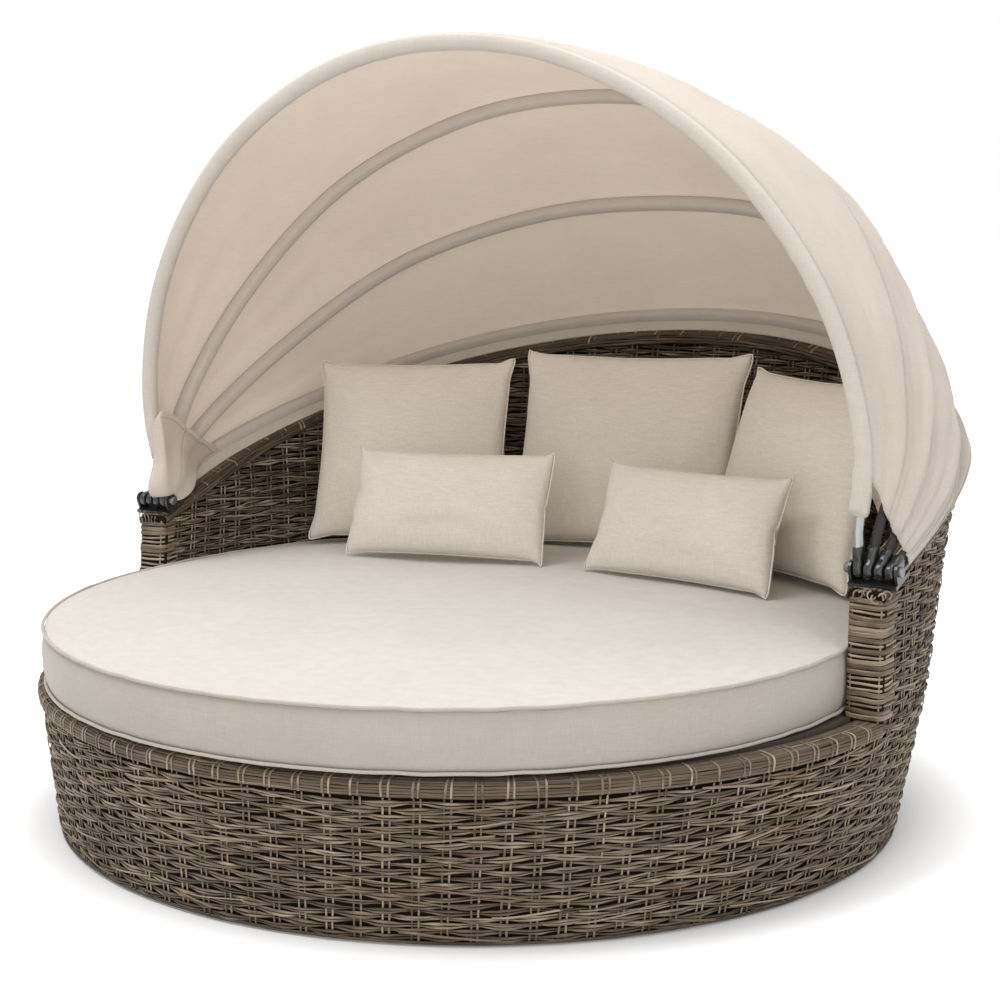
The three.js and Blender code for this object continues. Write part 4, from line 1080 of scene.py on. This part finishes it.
for k, (name, (size, (x, y), yaw, lean)) in enumerate(PILLOWS.items()):
    points, faces, front = sewn_pillow(size, 150 + k)
    turned = Matrix.Rotation(math.radians(yaw), 3, "Z") @ Matrix.Rotation(math.radians(-lean), 3, "X")
    points = points @ np.array(turned).T + np.array([x, y, 0])
    fall = (points[:, 2] - crown_height(points[:, 0], points[:, 1])).min()
    points[:, 2] -= fall - 0.0005
    cover = LUMBAR_SHADED if "lumbar" in name else PILLOW
    pillow = subdivide(mesh_object("cushion_" + name, points, faces, cover))
    place_piece(pillow, node="pillow_" + name)
    line = points[np.concatenate([front[0, :-1], front[:-1, -1], front[-1, :0:-1], front[:0:-1, 0]])]
    face = np.tile(np.array(turned) @ np.array([0, 1.0, 0]), (len(line), 1))
    out = unit(np.cross(ahead_of(line, True), face))
    out *= np.sign(((line - line.mean(0)) * out).sum(1).mean())
    seam = Strands(160 + k)
    seam.run(line - out * 0.0008, face, out, SEAM_RADIUS, SEAM_RADIUS, 0.5, 0, True, ROUND_SECTION)
    place_piece(seam.piece("seam_" + name, cover))


# Black end fittings of the bows: rounded pods on the bolt, each with a collar round its tube.
# Stations: height along the bow, half width along the bolt, half depth.

POD = [(-0.0145, 0.0035, 0.0040), (-0.0138, 0.0062, 0.0075), (-0.0110, 0.0080, 0.0108),
       (-0.0060, 0.0089, 0.0132), (0.0, 0.0091, 0.0142), (0.0060, 0.0091, 0.0136), (0.0105, 0.0087, 0.0118),
       (0.0135, 0.0084, 0.0110), (0.0165, 0.0088, 0.0120), (0.0220, 0.0091, 0.0131), (0.0290, 0.0091, 0.0131),
       (0.0340, 0.0089, 0.0124), (0.0375, 0.0084, 0.0112), (0.0386, 0.0072, 0.0098)]


def pod(side, order):
    turn = round_turns(28)
    across = np.sign(np.cos(turn)) * np.abs(np.cos(turn)) ** 0.62
    deep = np.sign(np.sin(turn)) * np.abs(np.sin(turn)) ** 0.72
    cos, sin = math.cos(BOW_ANGLES[order]), math.sin(BOW_ANGLES[order])
    return np.stack([np.stack([side * bow_foot(order) + width * across,
                               HUB_Y + height * cos - depth * deep * sin,
                               HUB_Z + height * sin + depth * deep * cos], 1) for height, width, depth in POD])


for order, name in enumerate(BOW_NAMES):
    for label, side in ARMS:
        which = "%s_%s" % (name, label)
        piece = subdivide(tube("end_pod_" + which, pod(side, order), PLASTIC))
        place_piece(piece, BODIES[order], "knuckle_" + which)


# Finishes of the CAD pieces that stay, by the start of the name; the rest is frame metal. The bows behind the
# front one take the tube's near-black copy, painted shade, and the cores under the strands the near-black of
# the weave's gaps, painted shadow.

FINISHES = [(("hub_bracket", "knuckle", "glide"), PLASTIC), (("pivot_bolt", "pivot_nut"), STEEL),
            (("bow_front",), TUBE), (("bow_",), TUBE_SHADED), (("deck_panel",), DECK),
            (("front_rim_roll", "back_top_wrap", "arm_end_right", "arm_end_left"), SHADOW_CORE)]
for name in NODES:
    finish = next((material for starts, material in FINISHES if name.startswith(starts)), METAL)
    for held in NODES[name].material_slots:
        held.material = finish


# Camera, fitted to the photograph's ellipses

AZIMUTH, ELEVATION, ROLL, DISTANCE = math.radians(34.80), math.radians(9.06), -0.0223, 3.8869
LOOKED_AT = Vector((0, 0.2036, 0.5470))
SIDE_STEP = 0.0568
back = Vector((math.sin(AZIMUTH) * math.cos(ELEVATION), -math.cos(AZIMUTH) * math.cos(ELEVATION),
               math.sin(ELEVATION)))
level = Vector((math.cos(AZIMUTH), math.sin(AZIMUTH), 0))
upright = back.cross(level)
place = LOOKED_AT - level * SIDE_STEP + back * DISTANCE
right = level * math.cos(ROLL) + upright * math.sin(ROLL)
up = upright * math.cos(ROLL) - level * math.sin(ROLL)
lens = bpy.data.cameras.new("camera")
camera = bpy.data.objects.new("camera", lens)
bpy.context.scene.collection.objects.link(camera)
camera.matrix_world = Matrix((*zip(right, up, back, place), (0, 0, 0, 1)))
lens.sensor_width = 36
lens.lens = 71.8
lens.shift_x, lens.shift_y = 0.00256, -0.00012
lens.clip_end = 100
bpy.context.scene.camera = camera


# Floor, world and lamps

def seen_directly(tree):
    rays = add(tree, "LightPath").outputs
    seen = calc(tree, "MAXIMUM", rays["Is Camera Ray"], rays["Is Glossy Ray"])
    return calc(tree, "MAXIMUM", seen, rays["Is Transmission Ray"])


# The floor's own glow grows outside the drum, so that the shadow fades into the white ground. The weaker glow
# near the drum also darkens the floor round the base: painted shadow, on top of the real one.
floor = mesh_object("floor", [(-30, -30, 0), (30, -30, 0), (30, 30, 0), (-30, 30, 0)], [(0, 1, 2, 3)], SHADOW_CORE)
pale = bpy.data.materials.new("floor")
pale.use_nodes = True
tree = pale.node_tree
tree.nodes.clear()
matte = add(tree, "BsdfDiffuse", {"Color": (0.80, 0.80, 0.80, 1)})
even = scaled(tree, add(tree, "NewGeometry").outputs["Position"], (1, 1 / DEPTH_SHARE, 0))
away = add(tree, "VectorMath", {0: even}, operation="LENGTH").outputs["Value"]
glow = add(tree, "MapRange", {0: away, 1: 0.80, 2: 1.05, 3: 0.10, 4: 0.70}).outputs[0]
glow = calc(tree, "MULTIPLY", seen_directly(tree), glow)
shine = add(tree, "Emission", {"Color": (1, 1, 1, 1), "Strength": glow})
both = add(tree, "AddShader", {0: matte.outputs[0], 1: shine.outputs[0]})
tree.links.new(both.outputs[0], add(tree, "OutputMaterial").inputs[0])
floor.data.materials[0] = pale

world = bpy.data.worlds.new("world")
bpy.context.scene.world = world
world.use_nodes = True
tree = world.node_tree
ground = tree.nodes["Background"]
strength = add(tree, "MapRange", {0: seen_directly(tree), 1: 0.0, 2: 1.0, 3: 0.62, 4: 1.0})
tree.links.new(strength.outputs[0], ground.inputs["Strength"])
ground.inputs["Color"].default_value = (1, 1, 1, 1)


def lamp(name, place, target, size, power, colour=(1, 1, 1)):
    data = bpy.data.lights.new(name, "AREA")
    data.shape = "DISK"
    data.size = size
    data.energy = power
    data.color = colour
    thing = bpy.data.objects.new(name, data)
    bpy.context.scene.collection.objects.link(thing)
    thing.location = place
    thing.rotation_mode = "QUATERNION"
    thing.rotation_quaternion = (Vector(target) - Vector(place)).to_track_quat("-Z", "Y")


lamp("key", (-1.2, -1.7, 4.8), (0, 0, 0.5), 2.6, 110, (1, 0.99, 0.975))
lamp("fill", (4.2, -1.4, 2.8), (0, 0, 0.5), 3.0, 42)
lamp("over", (0.4, 0.6, 4.6), (0, 0, 0.6), 3.2, 70)
lamp("front", (1.6, -4.2, 1.5), (0, 0.2, 0.8), 2.8, 34, (1, 0.955, 0.90))

bpy.context.scene.view_settings.view_transform = "Standard"
